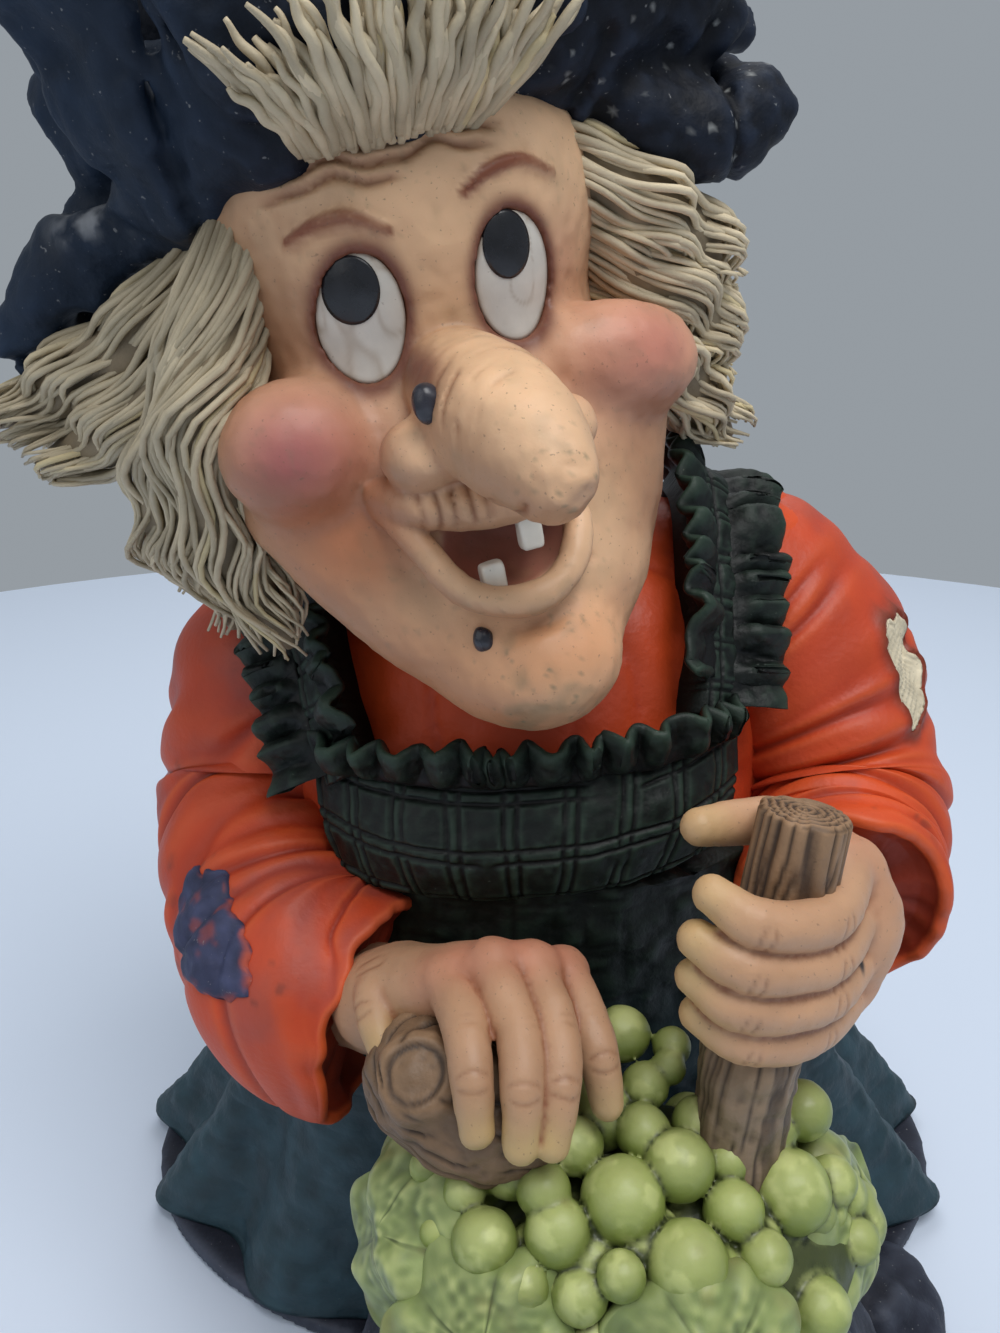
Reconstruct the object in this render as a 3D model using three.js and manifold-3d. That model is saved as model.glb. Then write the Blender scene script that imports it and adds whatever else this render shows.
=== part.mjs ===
// A cast and painted resin witch, leaning on a knot of wood and a stake above a heap of grapes.
// Millimetres, +Z up. The figure faces -Y, the origin is the middle of the base's underside,
// and left and right are as seen from the front.
import * as THREE from 'three';
import { mergeVertices } from 'three/addons/utils/BufferGeometryUtils.js';
import Module from 'manifold-3d';

const wasm = await Module();
wasm.setup();

const at = (x, y, z) => new THREE.Vector3(x, y, z);
const upward = at(0, 0, 1);

// Clearance of every glued seat between two castings.
const fit = 0.3;

// Base: a thin plate under the skirt, and the rock that carries the grapes.
const plateThick = 4;
const plateMargin = 1.5;
const rockCentre = at(12, -50, 0);
const rockWide = 54;
const rockDeep = 40;
const rockHigh = 56;
const rockLump = 3;
const stoneCentre = at(66, -24, 0);
const stoneWide = 18;
const stoneHigh = 13;
const ledgeRight = at(38, -72, 30);
const ledgeLeft = at(-14, -66, 26);
const ledgeWide = 16;
const ledgeDeep = 13;
const ledgeHigh = 25;

// Skirt: a folded bell from the waist to the hem.
const hemCentre = at(1, 27, 0);
const hemWide = 93;
const hemDeep = 65;
const waistCentre = at(-2, 15, 106);
const waistWide = 50;
const waistDeep = 46;
const skirtFlare = 1.7;
const skirtFolds = 11;
const foldDepth = 0.06;

// Torso: an egg-shaped body, the chest and the yoke of the shoulders.
const bodyCentre = at(-4, 15, 112);
const bodyWide = 50;
const bodyDeep = 44;
const bodyHigh = 52;
const shoulderLeft = at(-46, 17, 132);
const shoulderRight = at(38, 17, 150);
const shoulderRound = 19;
const chestCentre = at(0, 6, 140);
const chestWide = 40;
const chestDeep = 24;
const chestHigh = 22;

// Bib and straps of the pinafore.
const clothThick = 2.4;
const clothSink = 5;
const bibPuff = 2.6;
const bibLeft = -52;
const bibRight = 50;
const bibLow = -8;
const bibTop = 17;
const bibTilt = 7;
const strapWide = 8;
const frillWide = 9.5;
const frillSwing = 1.7;
const frillThick = 1.9;
const frillPitch = 7;
const frillLift = 3;
const frillTuck = 1.5;

// Sleeves: stuffed tubes that end in an open cuff.
const sleeveRound = 23;
const cuffRound = 19.5;
const cuffWall = 2.5;
const cuffDepth = 6;
const cuffFlare = 2;
const sleeveFold = 0.075;
const elbow = 0.55;
const patchThick = 1.5;
const patchRound = 10;
const tearRound = 6.5;
const tearSink = 1;
const cuffLeft = at(-32, -31, 83.5);
const cuffRight = at(54, -21, 99);
const patchSpot = at(-60, -28, 98);
const tearSpot = at(69, -3, 136);

// Hands, the stake and the knot of wood.
const fingerRound = 3.3;
const palmRound = 9;
const palmFlat = 0.72;
const wristRound = 8.5;
const stakeTop = at(36, -52, 132);
const stakeFoot = at(25.5, -61, 60);
const stakeRound = 7;
const stakeFlare = 8;
const knotCentre = at(-15, -60, 86.5);
const knotLong = 14.5;
const knotRound = 10.5;
const stubRound = 4.5;

// Grapes and vine leaves.
const heapCentre = at(12, -58, 54);
const heapWide = 40;
const heapDeep = 27;
const heapHigh = 22;
const leafThick = 3.5;
const leafDroop = 5;
const leafLobes = 5;
const leafNotch = 0.16;
const leafSize = 15;

// Head: where it sits, how it turns, and the main forms of the face.
const headCentre = at(-25.6, -2.4, 196.9);
const headTurn = 18;
const headLean = -10.8;
const headNod = -1.4;
const skullWide = 32;
const skullDeep = 34;
const skullHigh = 40;
const jawWide = 36;
const cheekApart = 26.5;
const cheekRound = 11;
const noseReach = 65;
const noseRound = 10;
const chinRound = 12.5;
const mouthWide = 10.5;
const mouthHigh = 5.2;
const mouthSide = -1.5;
const mouthRise = -28;
const lipRound = 2.5;
const eyeApart = 11.5;
const eyeWide = 6.6;
const eyeHigh = 9.3;
const eyeDeep = 5;
const eyeRise = 7;
const pupilWide = 3.9;
const pupilHigh = 4.8;
const pupilDeep = 2;
const toothWide = 3.2;
const toothHigh = 7;
const wartRound = 2.3;
const neckRound = 14;
const neckFoot = at(-12, 15, 146);
const formBlend = 14;
const rayCrowding = 1.15;

// Hat: a torn, turned-up brim and a slumped crown.
const bandWide = 34;
const bandDeep = 36;
const bandHeight = 31;
const brimThick = 9.5;
const brimReach = 62;
const brimShort = 14;
const brimLobe = 10;
const brimDroop = -16;
const brimTurnUp = 26;
const brimWave = 1.8;
const brimWaves = 7;
const tearDepth = 8;
const tearLeft = -106;
const tearBack = 150;
const lobeRight = 66;
const crownRound = 36;
const crownHigh = 62;
const crownBend = 34;

// Hair: how thick a lock is, and the fan of the fringe.
const lockRound = 7;
const fringeCount = 9;
const fringeLong = 20;
const fringeRound = 2.6;
const fringeHalf = 13;
const fringeBow = 5;
const fringeFan = 0.65;

// Welds a three.js geometry, moves its vertices by a mapping and closes it into a solid facing out.
function shaped(geometry, move) {
  geometry.deleteAttribute('normal');
  geometry.deleteAttribute('uv');
  const welded = mergeVertices(geometry, 1e-5);
  const position = welded.getAttribute('position');
  const points = [];
  for (let i = 0; i < position.count; i++) {
    points.push(move(new THREE.Vector3().fromBufferAttribute(position, i)));
  }
  const faces = [];
  let volume = 0;
  for (let i = 0; i < welded.index.count; i += 3) {
    const [a, b, c] = welded.index.array.slice(i, i + 3);
    if (a === b || b === c || c === a) continue;
    faces.push([a, b, c]);
    volume += points[a].dot(points[b].clone().cross(points[c]));
  }
  const triVerts = faces.flatMap(([a, b, c]) => (volume > 0 ? [a, b, c] : [a, c, b]));
  return new wasm.Manifold(new wasm.Mesh({
    numProp: 3,
    vertProperties: Float32Array.from(points.flatMap((p) => p.toArray())),
    triVerts: Uint32Array.from(triVerts),
  }));
}

// An ellipsoid.
function blob(centre, radii, detail = 10) {
  const sphere = new THREE.SphereGeometry(1, detail, Math.round(detail * 0.6));
  return shaped(sphere, (p) => at(p.x, p.z, p.y).multiply(radii).add(centre));
}

// A round-ended tube along a curve, whose width changes from point to point.
// ripple(t, angle) widens or narrows it, and flat presses it across the up direction.
function limb(points, widths, options = {}) {
  const { sides = 10, rings = 8, caps = 2, flat = 1, up = upward, grow = 0, ripple = () => 0 } = options;
  const path = new THREE.CatmullRomCurve3(points);
  const width = new THREE.SplineCurve(widths.map((w, i) => new THREE.Vector2(i, w)));
  return shaped(new THREE.CapsuleGeometry(1, 1, caps, sides, rings), (p) => {
    const t = THREE.MathUtils.clamp(p.y + 0.5, 0, 1);
    const past = p.y + 0.5 - t;
    const along = path.getTangent(t);
    const across = along.clone().cross(up).normalize();
    const over = across.clone().cross(along);
    const size = width.getPoint(t).y * (1 + ripple(t, Math.atan2(p.z, p.x))) + grow;
    return path.getPoint(t)
      .addScaledVector(along, past * (width.getPoint(t).y * flat + grow))
      .addScaledVector(across, p.x * size)
      .addScaledVector(over, p.z * (size * flat + grow * (1 - flat)));
  });
}

// A sheet: face(u, v, inner) gives its outer or its inner side.
function sheet(stepsU, stepsV, face) {
  const box = new THREE.BoxGeometry(1, 1, 1, stepsU, stepsV, 1);
  return shaped(box, (p) => face(p.x + 0.5, p.y + 0.5, p.z < 0));
}

// How near a value lies to a given one: 1 there, falling off over the spread.
const near = (value, centre, spread) => Math.exp(-(((value - centre) / spread) ** 2));

const join = (solids) => solids.reduce((sum, next) => sum.add(next));
const mirrored = (make) => [make(-1), make(1)];

// The solid less its neighbours, without the crumbs that a cut can leave.
function cut(solid, neighbours) {
  const left = neighbours.reduce((rest, next) => rest.subtract(next), solid);
  return left.decompose().reduce((a, b) => (a.volume() > b.volume() ? a : b));
}

// Head frame
const headFrame = new THREE.Matrix4().makeRotationFromEuler(new THREE.Euler(
  THREE.MathUtils.degToRad(headNod),
  THREE.MathUtils.degToRad(headLean),
  THREE.MathUtils.degToRad(headTurn),
  'ZYX',
)).setPosition(headCentre);
const headInverse = headFrame.clone().invert();
const inHead = (solid) => solid.transform(headInverse.elements);
const fromHead = (solid) => solid.transform(headFrame.elements);

// Base
function base(grow) {
  const below = 4 * hemWide;
  const ground = shaped(new THREE.BoxGeometry(1, 1, 1), (p) => (
    p.addScaledVector(upward, -0.5).multiplyScalar(below)));
  const disc = new THREE.CylinderGeometry(1, 1, 1, 32, 1);
  const plate = shaped(disc, (p) => at(
    hemCentre.x + p.x * (hemWide + plateMargin + grow),
    hemCentre.y + p.z * (hemDeep + plateMargin + grow),
    (p.y + 0.5) * (plateThick + grow),
  ));
  const rock = shaped(new THREE.SphereGeometry(1, 16, 10), (p) => {
    const lump = rockLump * Math.sin(5 * p.x + 1) * Math.cos(6 * p.z - 4 * p.y) + grow;
    return at(p.x * (rockWide + lump), p.z * (rockDeep + lump), p.y * (rockHigh + lump)).add(rockCentre);
  });
  const stone = blob(stoneCentre, at(stoneWide, stoneWide, stoneHigh).addScalar(grow), 12);
  const ledges = [ledgeRight, ledgeLeft].map((centre) => (
    blob(centre, at(ledgeWide, ledgeDeep, ledgeHigh).addScalar(grow), 9)));
  return cut(join([plate, rock, stone, ...ledges]), [ground]);
}

// Skirt: an upright drum whose radius follows the bell and whose folds deepen towards the hem.
function skirt(grow) {
  const drum = new THREE.CylinderGeometry(1, 1, 1, 44, 3);
  return shaped(drum, (p) => {
    const low = 0.5 - p.y;
    const flare = low ** skirtFlare;
    const angle = Math.atan2(p.z, p.x);
    const fold = 1 + foldDepth * low * Math.sin(skirtFolds * angle + Math.sin(2 * angle));
    const centre = waistCentre.clone().lerp(hemCentre, low);
    const bottom = plateThick + fit - grow;
    return at(
      centre.x + p.x * (fold * THREE.MathUtils.lerp(waistWide, hemWide, flare) + grow),
      centre.y + p.z * (fold * THREE.MathUtils.lerp(waistDeep, hemDeep, flare) + grow),
      THREE.MathUtils.lerp(waistCentre.z + grow, bottom, low),
    );
  });
}

// Torso
function torso(grow) {
  const body = blob(bodyCentre, at(bodyWide, bodyDeep, bodyHigh).addScalar(grow), 14);
  const chest = blob(chestCentre, at(chestWide, chestDeep, chestHigh).addScalar(grow), 12);
  const middle = shoulderLeft.clone().lerp(shoulderRight, 0.5);
  const widths = [shoulderRound, shoulderRound, shoulderRound];
  const yoke = limb([shoulderLeft, middle, shoulderRight], widths, { sides: 10, rings: 3, grow });
  return join([body, chest, yoke]);
}

// A point on the front of the body, from degrees round it and up it, lifted off by some millimetres.
function onBody(round, rise, lift) {
  const a = THREE.MathUtils.degToRad(round);
  const b = THREE.MathUtils.degToRad(rise);
  return at(
    (bodyWide + lift) * Math.cos(b) * Math.sin(a),
    -(bodyDeep + lift) * Math.cos(b) * Math.cos(a),
    (bodyHigh + lift) * Math.sin(b),
  ).add(bodyCentre);
}

// Bib: a padded panel over the belly, narrower at its foot.
function bibPoint(u, v, lift) {
  const narrow = 0.78 + 0.22 * v;
  const round = THREE.MathUtils.lerp(bibLeft, bibRight, u) * narrow;
  const rise = THREE.MathUtils.lerp(bibLow, bibTop, v) + bibTilt * (u - 0.45);
  return onBody(round, rise, lift);
}
function bib(grow) {
  return sheet(8, 3, (u, v, inner) => {
    const puff = bibPuff * Math.sin(Math.PI * Math.min(1, 0.2 + 0.75 * v)) * Math.sin(Math.PI * u) ** 0.4;
    return bibPoint(u, v, inner ? -clothSink : clothThick + puff + grow);
  });
}

// Routes of the straps from the waist at the back, over the shoulders, to the bib, tied to the yoke.
const fromLeft = (x, y, z) => at(x, y, z).add(shoulderLeft);
const fromRight = (x, y, z) => at(x, y, z).add(shoulderRight);
const strapRoutes = {
  left: [fromLeft(22, 40, -24), fromLeft(11, 33, -2), fromLeft(-1, 15, 18), fromLeft(-3, -5, 25),
    fromLeft(-1, -22, 17), fromLeft(3, -33, 4), fromLeft(8, -40, -8)],
  right: [fromRight(-24, 40, -42), fromRight(-16, 34, -20), fromRight(-9, 15, 15), fromRight(-8, -5, 22),
    fromRight(-8, -19, 14), fromRight(-8, -30, -1), fromRight(-9, -37, -15)],
};
const outerSpan = [0.33, 0.98];
const innerSpan = [0.33, 0.92];

// The direction away from the chest at a point.
const outward = (point) => point.clone().sub(at(bodyCentre.x, bodyCentre.y, bodyCentre.z + 8)).normalize();

// A frame that runs along a route: the point, the way out and the way across to the left.
function along(route) {
  const path = new THREE.CatmullRomCurve3(route);
  return (u) => {
    const point = path.getPoint(u);
    const out = outward(point);
    const across = path.getTangent(u).cross(out).normalize();
    return { point, out, across };
  };
}

// Strap: a band laid along its route, sunk into what it lies on.
function strap(route, grow) {
  const frame = along(route);
  return sheet(10, 1, (u, v, inner) => {
    const { point, out, across } = frame(u);
    return point
      .addScaledVector(across, (v - 0.5) * (strapWide + 2 * grow))
      .addScaledVector(out, inner ? -2 * clothSink : grow);
  });
}

// Frill: a gathered strip, its root tucked into an edge and its free edge waving in and out.
function frill({ frame, side, span, waves, lift }, grow) {
  return sheet(2 * waves, 1, (u, v, inner) => {
    const { point, out, across } = frame(THREE.MathUtils.lerp(...span, u));
    const wave = frillSwing * v * Math.cos(2 * Math.PI * waves * u);
    return point
      .addScaledVector(across, side * (v * (frillWide + frillTuck + grow) - frillTuck))
      .addScaledVector(out, wave + lift * v + (inner ? -frillThick - grow : grow));
  });
}

// The frills of the strap's two edges and of the bib's upper edge.
function strapFrill(route, side, span) {
  const frame = (u) => {
    const place = along(route)(u);
    place.point.addScaledVector(place.across, side * strapWide / 2).addScaledVector(place.out, -fit);
    return place;
  };
  const length = (span[1] - span[0]) * new THREE.CatmullRomCurve3(route).getLength();
  const waves = Math.round(length / frillPitch);
  return { frame, side, span, waves, lift: frillLift };
}
function bibFrill() {
  const frame = (u) => {
    const point = bibPoint(u, 1, clothThick);
    const out = bibPoint(u, 1, clothThick + 1).sub(point).normalize();
    const across = bibPoint(u + 0.01, 1, clothThick).sub(point).cross(out).normalize().negate();
    return { point: point.addScaledVector(out, bibPuff), out, across };
  };
  return { frame, side: 1, span: [0.12, 0.87], waves: 10, lift: frillLift + 1 };
}
const frills = {
  frill_left_outer: strapFrill(strapRoutes.left, 1, outerSpan),
  frill_left_inner: strapFrill(strapRoutes.left, -1, innerSpan),
  frill_right_outer: strapFrill(strapRoutes.right, -1, outerSpan),
  frill_right_inner: strapFrill(strapRoutes.right, 1, innerSpan),
  frill_bib: bibFrill(),
};

// Sleeves: the arm's path from the shoulder to the cuff.
const armLeft = [shoulderLeft.clone().add(at(6, 3, 4)), shoulderLeft.clone().add(at(-8, 0, -4)),
  at(-57, 10, 106), at(-55, -8, 94.5), at(-46, -24, 86), cuffLeft];
const armRight = [shoulderRight.clone().add(at(-8, 2, 0)), shoulderRight.clone().add(at(4, 0, -7)),
  at(54, 11, 125), at(58, 2, 108), at(56, -10, 101), cuffRight];

function sleeve(arm, grow) {
  const middle = (sleeveRound + cuffRound) / 2;
  const widths = [sleeveRound - 4, sleeveRound, sleeveRound, sleeveRound - 0.5, middle, cuffRound];
  const ripple = (t, angle) => -sleeveFold * (
    near(t, elbow - 0.05 * Math.sin(angle), 0.03) + near(t, elbow + 0.1 - 0.04 * Math.cos(angle), 0.03));
  return limb(arm, widths, { sides: 11, rings: 18, caps: 1, up: at(1, 0.5, 0), grow, ripple });
}

// The mouth of a cuff: a round pocket at the end of the arm.
function cuffMouth(arm) {
  const end = arm.at(-1);
  const inwards = arm.at(-2).clone().sub(end).setLength(cuffDepth);
  const outer = end.clone().addScaledVector(inwards, -2.5);
  const mouthRound = cuffRound - cuffWall;
  const widths = [mouthRound - cuffFlare, mouthRound, mouthRound];
  return limb([end.clone().add(inwards), end, outer], widths, { sides: 10, rings: 1, caps: 1, flat: 0.9 });
}

// Patch on the left elbow: a skin over the sleeve inside a rounded outline.
function patch() {
  const outline = blob(patchSpot, at(patchRound, patchRound, patchRound * 1.25), 14);
  return cut(sleeve(armLeft, patchThick + fit).intersect(outline), [sleeve(armLeft, fit)]);
}

// Torn spot on the right shoulder: the lining shows a little below the sleeve's skin.
const tear = (grow) => blob(tearSpot, at(tearRound, tearRound, tearRound * 1.3).addScalar(grow), 12);

// Stake: a rough pole with a sawn top, wider at its foot.
function stake(grow) {
  const axis = stakeTop.clone().sub(stakeFoot);
  const turn = new THREE.Quaternion().setFromUnitVectors(upward, axis.clone().normalize());
  return shaped(new THREE.CylinderGeometry(1, 1, 1, 12, 4), (p) => {
    const low = 0.5 - p.y;
    const angle = Math.atan2(p.z, p.x);
    const bark = 1 + 0.04 * Math.sin(5 * angle + 4 * low) + 0.03 * Math.sin(9 * low + 2);
    const size = bark * (stakeRound + (stakeFlare - stakeRound) * low ** 2) + grow;
    const height = p.y * (axis.length() + 2 * grow);
    return at(p.x * size, p.z * size, height).applyQuaternion(turn)
      .add(stakeFoot.clone().lerp(stakeTop, 0.5));
  });
}

// Knot of wood: a short log with a sawn-off branch stub facing forward.
function knot(grow) {
  const axis = at(0.86, -0.25, -0.35).setLength(knotLong);
  const log = limb(
    [knotCentre.clone().sub(axis), knotCentre, knotCentre.clone().add(axis)].map((p, i) => (
      p.addScaledVector(axis, [0.35, 0, -0.25][i]))),
    [knotRound - 2, knotRound, knotRound - 3],
    { sides: 12, rings: 4, caps: 3, grow },
  );
  const stub = limb([knotCentre.clone(), knotCentre.clone().add(at(-6, -8.5, 7))], [stubRound, stubRound],
    { sides: 8, rings: 1, caps: 1, grow });
  return log.add(stub);
}

// Left hand: the wrist from the cuff, the back of the hand and fingers draped over the knot.
function handLeft(grow) {
  const finger = (points, scale) => {
    const widths = [1.15, 1.05, 0.95, 0.8].map((w) => w * scale * fingerRound);
    return limb(points, widths, { sides: 6, rings: 4, caps: 1, grow });
  };
  return join([
    limb([cuffLeft, at(-25, -40, 94), at(-10, -47, 100)], [wristRound, wristRound, palmRound],
      { sides: 8, rings: 2, caps: 1, flat: palmFlat, grow }),
    limb([at(-17, -48, 100), at(-6, -49, 101), at(0, -46, 99)], [1.7, 1.8, 1.5].map((w) => w * fingerRound),
      { sides: 7, rings: 2, caps: 1, grow }),
    finger([at(-17, -50, 102), at(-14.7, -63, 101), at(-13.7, -70.5, 96.5), at(-13, -72, 92)], 1),
    finger([at(-10.5, -51, 104), at(-7.4, -63, 102), at(-6.4, -71, 96), at(-6.4, -73, 90)], 1),
    finger([at(-4.5, -50, 104), at(-1.2, -61, 101), at(-0.4, -69, 95.5), at(-1.2, -71.5, 89.5)], 1),
    finger([at(0.5, -47, 102), at(4.2, -56, 99), at(6, -62, 94.5), at(7, -64, 90.5)], 0.9),
    finger([at(-26, -42, 97), at(-30, -47, 98), at(-32, -53, 95), at(-31.5, -58, 91)], 1),
  ]);
}

// Right hand: the wrist from the cuff, the palm and four fingers stacked round the stake.
function handRight(grow) {
  const axis = stakeTop.clone().sub(stakeFoot).normalize();
  const hub = (height) => stakeFoot.clone().addScaledVector(axis, height);
  const finger = (height, scale) => {
    const ring = (degrees, reach) => {
      const a = THREE.MathUtils.degToRad(degrees);
      return hub(height).add(at(Math.sin(a), -Math.cos(a), 0).multiplyScalar(reach));
    };
    const reach = stakeRound + fingerRound * 0.8;
    const points = [ring(105, reach + 7), ring(62, reach + 3.5), ring(10, reach),
      ring(-48, reach), ring(-105, reach)];
    const widths = [1.2, 1.15, 1.1, 1.05, 0.85].map((w) => w * scale * fingerRound);
    return limb(points, widths, { sides: 6, rings: 5, caps: 1, grow });
  };
  return join([
    limb([cuffRight, at(50, -36, 103), at(46, -46, 107)], [wristRound, wristRound + 1, palmRound],
      { sides: 9, rings: 2, caps: 1, grow }),
    limb([at(48, -48, 121), at(49.5, -48, 108), at(48, -48, 97)],
      [1.8, 2.4, 1.8].map((w) => w * fingerRound), { sides: 7, rings: 2, caps: 1, grow }),
    finger(62.2, 1.05),
    finger(55.1, 1.1),
    finger(48, 1.1),
    finger(41.2, 1),
    limb([at(43, -42, 119), at(35, -41.5, 126), at(27, -44, 129), at(21, -49, 130.5)],
      [1.8, 1.3, 1.15, 0.9].map((w) => w * fingerRound), { sides: 6, rings: 5, caps: 1, grow }),
  ]);
}

// Grapes: a heap with the berries that show, each given by its place across the heap and its radius.
const berries = [
  [11, -46, 4.7], [20, -48, 3.8], [15, -54, 4], [6, -57, 5.6], [18, -66, 5.2], [7, -68, 6.5],
  [27, -69, 4.8], [37, -64, 6.6], [40, -54, 5], [31, -77, 4.3], [18, -77, 6.4], [8, -79, 4],
  [0, -81, 4.3], [-8, -80, 4], [-14, -73, 5.2], [-3, -73, 5.2], [-21, -67, 4], [44, -62, 4.2],
];
function heapTop(x, y) {
  const across = (x - heapCentre.x) / heapWide;
  const back = (y - heapCentre.y) / heapDeep;
  return heapCentre.z + heapHigh * Math.sqrt(Math.max(0, 1 - across ** 2 - back ** 2));
}
function grapes(grow) {
  const core = blob(heapCentre, at(heapWide, heapDeep, heapHigh).addScalar(grow), 12);
  return join([core, ...berries.map(([x, y, round]) => {
    const centre = at(x, y, heapTop(x, y) + 0.1 * round);
    return blob(centre, at(round, round, round).addScalar(grow), round > 5 ? 7 : 6);
  })]);
}

// Vine leaf: a lobed cushion of leaf that droops from its middle, facing one way with its tip another.
function leaf([centre, facing, tip, size], grow) {
  const out = facing.clone().normalize();
  const across = out.clone().cross(tip).normalize();
  const along = across.clone().cross(out);
  return shaped(new THREE.SphereGeometry(1, 3 * leafLobes, 4), (p) => {
    const lobe = 1 + leafNotch * Math.cos(leafLobes * Math.atan2(p.z, p.x));
    const droop = leafDroop * (p.x ** 2 + p.z ** 2);
    return centre.clone()
      .addScaledVector(along, p.x * (lobe * size + grow))
      .addScaledVector(across, p.z * (lobe * size + grow))
      .addScaledVector(out, p.y * (leafThick + grow) - droop);
  });
}

// Head forms, in the head's own frame: the face looks along -Y.
const headForms = [
  [at(0, 0, 10), at(skullWide, skullDeep, skullHigh)],
  [at(2.5, -9, 22), at(skullWide - 2, skullDeep - 8, 0.6 * skullHigh)],
  [at(0, -17, -15), at(jawWide, 22, 16)],
  [at(0, -25, -30), at(0.8 * jawWide, 17, 13)],
  [at(0, -33, -41), at(0.58 * jawWide, 14, 11)],
  [at(0, -36.5, -18), at(16, 9.5, 6)],
  ...mirrored((side) => [at(side * cheekApart, -28, -7), at(cheekRound, cheekRound, cheekRound)]),
];

// How far a ray from a point runs before it leaves an ellipsoid, or nothing where it misses.
function exitDistance(from, direction, [centre, radii]) {
  const start = from.clone().sub(centre).divide(radii);
  const step = direction.clone().divide(radii);
  const half = start.dot(step);
  const square = step.lengthSq();
  const inside = half ** 2 - square * (start.lengthSq() - 1);
  return inside > 0 ? Math.max(0, (Math.sqrt(inside) - half) / square) : 0;
}

// Skull, jaw and cheeks: rays from one point run to the farthest form, and the power blends
// forms that are nearly as far.
function headMass(grow) {
  const middle = at(0, -12, -8);
  return shaped(new THREE.SphereGeometry(1, 26, 16), (p) => {
    const spin = Math.atan2(p.z, p.x);
    const tilt = Math.PI * (Math.acos(THREE.MathUtils.clamp(p.y, -1, 1)) / Math.PI) ** rayCrowding;
    const ray = at(Math.sin(tilt) * Math.cos(spin), -Math.cos(tilt), Math.sin(tilt) * Math.sin(spin));
    const sum = headForms.reduce((total, form) => total + exitDistance(middle, ray, form) ** formBlend, 0);
    return ray.multiplyScalar(sum ** (1 / formBlend) + grow).add(middle);
  });
}
function face(grow) {
  const nose = limb(
    [at(0, -28, -3), at(-1, -38, -4.5), at(-1, -49, -7.5), at(1, 8 - noseReach, -11.5),
      at(2, 3 - noseReach, -14.5)],
    [0.65, 0.85, 1, 0.85, 0.6].map((w) => w * noseRound),
    { sides: 9, rings: 6, caps: 2, grow },
  );
  const lip = limb(
    [at(mouthSide - mouthWide - 2, -36, -20), at(mouthSide - mouthWide, -42, mouthRise - 1),
      at(mouthSide, -46, mouthRise - mouthHigh - 1), at(mouthSide + mouthWide, -42, mouthRise - 1),
      at(mouthSide + mouthWide + 2, -36, -22)],
    [1, 1, 1.15, 1, 1].map((w) => w * lipRound),
    { sides: 6, rings: 7, caps: 1, grow },
  );
  const chin = blob(at(0, -41, -46.5), at(chinRound, chinRound - 1, chinRound - 1).addScalar(grow), 10);
  const wings = mirrored((side) => blob(at(side * 10, -41, -11.5), at(5.5, 6.5, 5).addScalar(grow), 7));
  const brows = mirrored((side) => limb(
    [at(side * (eyeApart - 6), -34, 20), at(side * (eyeApart + 1), -34, 23.5),
      at(side * (eyeApart + 8), -30, 20)],
    [1, 1.4, 0.9],
    { sides: 4, rings: 3, caps: 1, grow },
  ));
  return join([nose, lip, chin, ...wings, ...brows]);
}
function neck(grow) {
  const foot = neckFoot.clone().applyMatrix4(headInverse);
  return limb([at(0, 2, -14), foot], [neckRound + 2, neckRound], { sides: 12, rings: 1, caps: 1, grow });
}
const mouth = () => blob(at(mouthSide, -46, mouthRise), at(mouthWide, 10, mouthHigh), 10);

function eye(side, grow) {
  return blob(at(side * eyeApart, -29, eyeRise), at(eyeWide, eyeDeep, eyeHigh).addScalar(grow), 9);
}
function pupil(side, grow) {
  const centre = at(side * eyeApart, -32.6, eyeRise + eyeHigh - pupilHigh);
  return blob(centre, at(pupilWide, pupilDeep, pupilHigh).addScalar(grow), 7);
}
function tooth(centre, grow) {
  const size = at(toothWide, toothWide * 0.8, toothHigh).addScalar(2 * grow);
  return shaped(new THREE.BoxGeometry(1, 1, 1), (p) => p.multiply(size).add(centre));
}
const toothUpper = (grow) => tooth(at(mouthSide + 3.5, -42.5, mouthRise + mouthHigh), grow);
const toothLower = (grow) => tooth(at(mouthSide - 3, -42.5, mouthRise - mouthHigh), grow);
const wartNose = (grow) => blob(at(-9, -45, -3), at(1, 1, 1.3).multiplyScalar(wartRound + grow), 6);
const wartChin = (grow) => blob(at(-8.5, -49.5, -43), at(1, 1, 1.2).multiplyScalar(wartRound + grow), 6);
const headShape = (grow) => join([headMass(grow), face(grow), neck(grow)]);

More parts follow.
